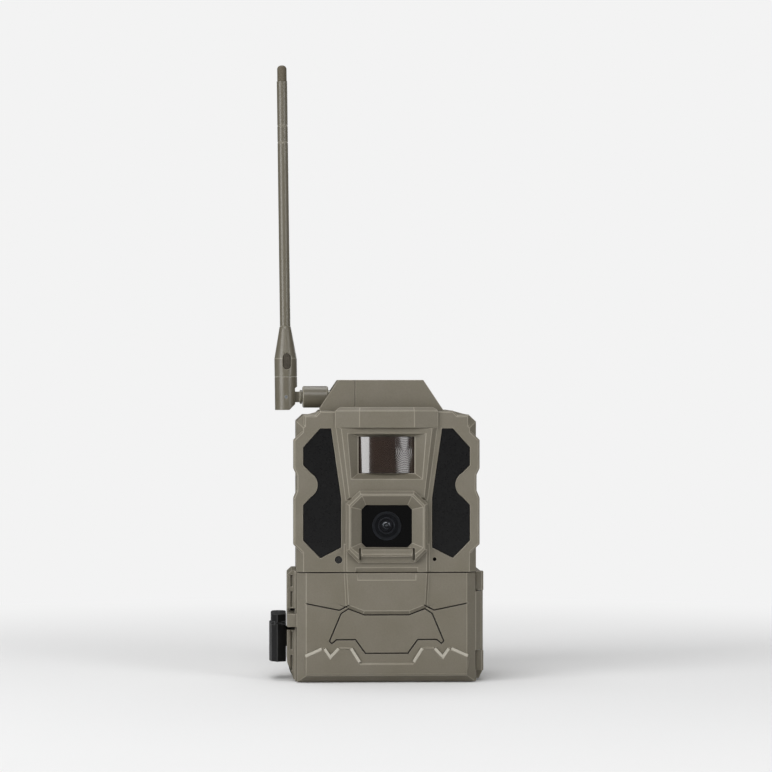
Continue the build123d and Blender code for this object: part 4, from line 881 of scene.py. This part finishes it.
class TRAIL_CAMERA_OT_camera_eye(bpy.types.Operator):
    """Makes the stepped lens barrel and its coated glass, and finishes the window and the camera module"""

    bl_idname = "trail_camera.camera_eye"
    bl_label = "Camera eye"

    def execute(self, context):
        low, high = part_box("lens_barrel")
        centre = (low + high) / 2
        rim = (high.x - low.x) / 2
        face = low.y
        baffles = 5
        mouth, throat, socket = 0.66 * rim, 0.47 * rim, 0.415 * rim
        bore, lip_foot, lip_out, lip_in = 0.30 * rim, 0.84 * rim, 0.82 * rim, 0.70 * rim
        run_in = 1.5 * MM
        lip_rise = 0.25 * MM
        mouth_y = face + 0.2 * MM
        seat_y = face + 4.6 * MM
        baffle_ledge = 0.12 * MM
        profile = [(bore, high.y), (rim, high.y), (rim, face + 0.9 * MM), (rim - 0.7 * MM, face + lip_rise)]
        profile += [(lip_foot, face + lip_rise), (lip_out, face), (lip_in, face), (mouth, mouth_y)]
        for step in range(baffles):
            share = (step + 1) / baffles
            radius = mouth + (throat - mouth) * share
            depth = mouth_y + run_in * share
            profile.append((radius + baffle_ledge, depth))
            profile.append((radius, depth))
        # Retaining ring round the front element.
        ring_y = face + run_in
        profile += [(throat - 0.05 * MM, ring_y - 0.2 * MM), (socket + 0.1 * MM, ring_y - 0.3 * MM)]
        profile += [(socket, ring_y), (socket, seat_y), (bore, seat_y)]
        mesh = turned(profile + profile[:1], centre, 96)
        for part in mesh.faces:
            spot = part.calc_center_median() - centre
            part.material_index = int(throat < math.hypot(spot.x, spot.z) < mouth)
        barrel = add_piece(
            "stepped_lens_barrel",
            "case",
            mesh,
            [turned_black_acetal, flocked_black],
            ["lens_barrel"],
        )
        crease(barrel, 25)

        low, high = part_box("lens_front_element")
        middle = (low + high) / 2
        radius = (high.x - low.x) / 2
        dome = 1.5 * MM
        sphere = (radius**2 + dome**2) / (2 * dome)
        steps = 14
        bead = 1.25 * MM
        bead_rise = 0.3 * MM  # how far the bead stands out of the dome
        bead_reach = math.radians(75)
        pole = 0.02 * MM  # radius of the tiny flat in the middle
        profile = [(pole, high.y), (radius, high.y)]
        for step in range(steps + 1):
            angle = math.asin(radius / sphere) * (1 - step / steps)
            if sphere * math.sin(angle) > bead:
                depth = low.y + sphere * (1 - math.cos(angle)) + bead_rise
                profile.append((sphere * math.sin(angle), depth))
        # The steep inner element in the middle gathers the lights into small bright points.
        for step in range(steps + 1):
            angle = bead_reach * (1 - step / steps)
            profile.append((max(bead * math.sin(angle), pole), low.y + bead * (1 - math.cos(angle))))
        glass = add_piece(
            "domed_front_lens",
            "case",
            turned(profile, middle, 96),
            [coated_lens_glass],
            ["lens_front_element"],
        )
        crease(glass, 40)

        paint("lens_window", masked_window_glass)
        finish("camera_module", charcoal_abs, charcoal_edge_highlight, 0.1 * MM)
        return {"FINISHED"}


class TRAIL_CAMERA_OT_antenna(bpy.types.Operator):
    """Finishes the antenna, its knuckle, nut and connector"""

    bl_idname = "trail_camera.antenna"
    bl_label = "Antenna"

    def execute(self, context):
        look = context.scene.trail_camera_shell
        for name in ("antenna_nut", "antenna_stem", "antenna_knuckle", "antenna_sleeve"):
            finish(name, satin_antenna_abs, antenna_edge_highlight, look.edge_radius)
        finish("antenna_whip", satin_antenna_abs, antenna_edge_highlight, look.fine_edge_radius)
        finish("antenna_tip", soft_tip_elastomer, soft_tip_elastomer, look.fine_edge_radius)
        finish("antenna_pin", zinc_plated_steel, zinc_plated_steel, look.fine_edge_radius)
        paint("antenna_jack", nickel_plated_brass)
        paint("antenna_lead", moulded_black_epoxy)
        self.sleeve_insert()
        return {"FINISHED"}

    def sleeve_insert(self):
        """The ribbed soft insert in the sleeve's long recess."""
        low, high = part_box("antenna_sleeve")
        lean = math.radians(0.75)  # the whole arm leans outwards
        inward = 0.45 * MM
        recess_depth = 1.2 * MM
        height_share = 0.304
        middle_z = low.z + height_share * (high.z - low.z)
        middle = Vector(((low.x + high.x) / 2 + inward, low.y + recess_depth, middle_z))
        base_proud = 0.35 * MM
        end_half_width = 0.25 * MM
        half_width, half_length = 1.8 * MM, 3.7 * MM
        rib_pitch, rib_height, crown = 0.62 * MM, 0.22 * MM, 0.25 * MM
        rows, columns = 96, 8
        mesh = bmesh.new()
        grid = []
        for row in range(rows + 1):
            along = half_length * (2 * row / rows - 1)
            past = max(0.0, abs(along) - (half_length - half_width))
            reach = math.sqrt(max(half_width**2 - past**2, end_half_width**2))
            rib = rib_height * (0.5 + 0.5 * math.cos(2 * math.pi * along / rib_pitch))
            line = []
            for column in range(columns + 1):
                across = reach * (2 * column / columns - 1)
                proud = base_proud + crown * (1 - (across / half_width) ** 2) + rib
                x = across * math.cos(lean) - along * math.sin(lean)
                z = along * math.cos(lean) + across * math.sin(lean)
                line.append(mesh.verts.new(middle + Vector((x, -proud, z))))
            grid.append(line)
        for first, second in zip(grid, grid[1:]):
            for i in range(columns):
                mesh.faces.new((first[i], first[i + 1], second[i + 1], second[i]))
        insert = add_piece("sleeve_insert", "antenna_arm", mesh, [speckled_elastomer])
        sheet = insert.modifiers.new("sheet", "SOLIDIFY")
        sheet.thickness = 0.3 * MM
        sheet.offset = -1.0


class TRAIL_CAMERA_OT_controls(bpy.types.Operator):
    """Finishes the panel behind the door: screen, keys, switch, status lights and memory card"""

    bl_idname = "trail_camera.controls"
    bl_label = "Controls"

    def execute(self, context):
        look = context.scene.trail_camera_shell
        finish("control_panel", charcoal_abs, charcoal_edge_highlight, look.fine_edge_radius)
        paint("screen_window", display_acrylic)
        paint("screen_module", tinned_steel)
        for name in ("key_up", "key_down", "key_left", "key_right", "key_ok"):
            paint(name, keypad_silicone)
        finish("power_switch", black_nylon, nylon_edge_highlight, look.fine_edge_radius)
        finish("tray_release_key", black_nylon, nylon_edge_highlight, look.fine_edge_radius)
        paint("status_lights", light_pipe_acrylic)
        finish("memory_card", moulded_black_epoxy, charcoal_edge_highlight, look.fine_edge_radius)
        paint("card_socket", tinned_steel)
        paint("control_board", solder_masked_board)
        paint("key_switches", tinned_steel)
        return {"FINISHED"}


class TRAIL_CAMERA_OT_power(bpy.types.Operator):
    """Finishes the battery tray, its cells and all contacts"""

    bl_idname = "trail_camera.power"
    bl_label = "Battery tray"

    def execute(self, context):
        look = context.scene.trail_camera_shell
        finish("battery_tray", charcoal_abs, charcoal_edge_highlight, look.fine_edge_radius)
        paint("aa_cells", shrink_sleeve)
        paint("cell_contacts", zinc_plated_steel)
        paint("bay_contacts", turned_brass)
        return {"FINISHED"}


class TRAIL_CAMERA_OT_electronics(bpy.types.Operator):
    """Finishes the boards, chips and modem inside the case"""

    bl_idname = "trail_camera.electronics"
    bl_label = "Electronics"

    def execute(self, context):
        paint("main_board", solder_masked_board)
        paint("board_screws", zinc_plated_steel)
        paint("modem_module", tinned_steel)
        paint("board_chips", moulded_black_epoxy)
        return {"FINISHED"}


STEPS = (
    TRAIL_CAMERA_OT_studio,
    TRAIL_CAMERA_OT_case,
    TRAIL_CAMERA_OT_illuminators,
    TRAIL_CAMERA_OT_motion_lens,
    TRAIL_CAMERA_OT_camera_eye,
    TRAIL_CAMERA_OT_antenna,
    TRAIL_CAMERA_OT_controls,
    TRAIL_CAMERA_OT_power,
    TRAIL_CAMERA_OT_electronics,
)
SETTINGS = {
    "trail_camera_shell": TrailCameraShell,
    "trail_camera_optics": TrailCameraOptics,
    "trail_camera_studio": TrailCameraStudio,
}


class TRAIL_CAMERA_PT_panel(bpy.types.Panel):
    """Lists the settings and steps of the trail camera's looks"""

    bl_idname = "TRAIL_CAMERA_PT_panel"
    bl_label = "Trail camera"
    bl_space_type = "VIEW_3D"
    bl_region_type = "UI"
    bl_category = "Trail camera"

    def draw(self, context):
        for name, group in SETTINGS.items():
            box = self.layout.box()
            for setting in group.__annotations__:
                box.prop(getattr(context.scene, name), setting)
        for step in STEPS:
            self.layout.operator(step.bl_idname)


CLASSES = (*SETTINGS.values(), *STEPS, TRAIL_CAMERA_PT_panel)


def register():
    for kind in CLASSES:
        bpy.utils.register_class(kind)
    for name, group in SETTINGS.items():
        setattr(bpy.types.Scene, name, bpy.props.PointerProperty(type=group))


def unregister():
    for name in SETTINGS:
        delattr(bpy.types.Scene, name)
    for kind in reversed(CLASSES):
        bpy.utils.unregister_class(kind)


def main():
    register()
    bpy.ops.trail_camera.studio()
    bpy.ops.trail_camera.case()
    bpy.ops.trail_camera.illuminators()
    bpy.ops.trail_camera.motion_lens()
    bpy.ops.trail_camera.camera_eye()
    bpy.ops.trail_camera.antenna()
    bpy.ops.trail_camera.controls()
    bpy.ops.trail_camera.power()
    bpy.ops.trail_camera.electronics()


if __name__ == "__main__":
    main()
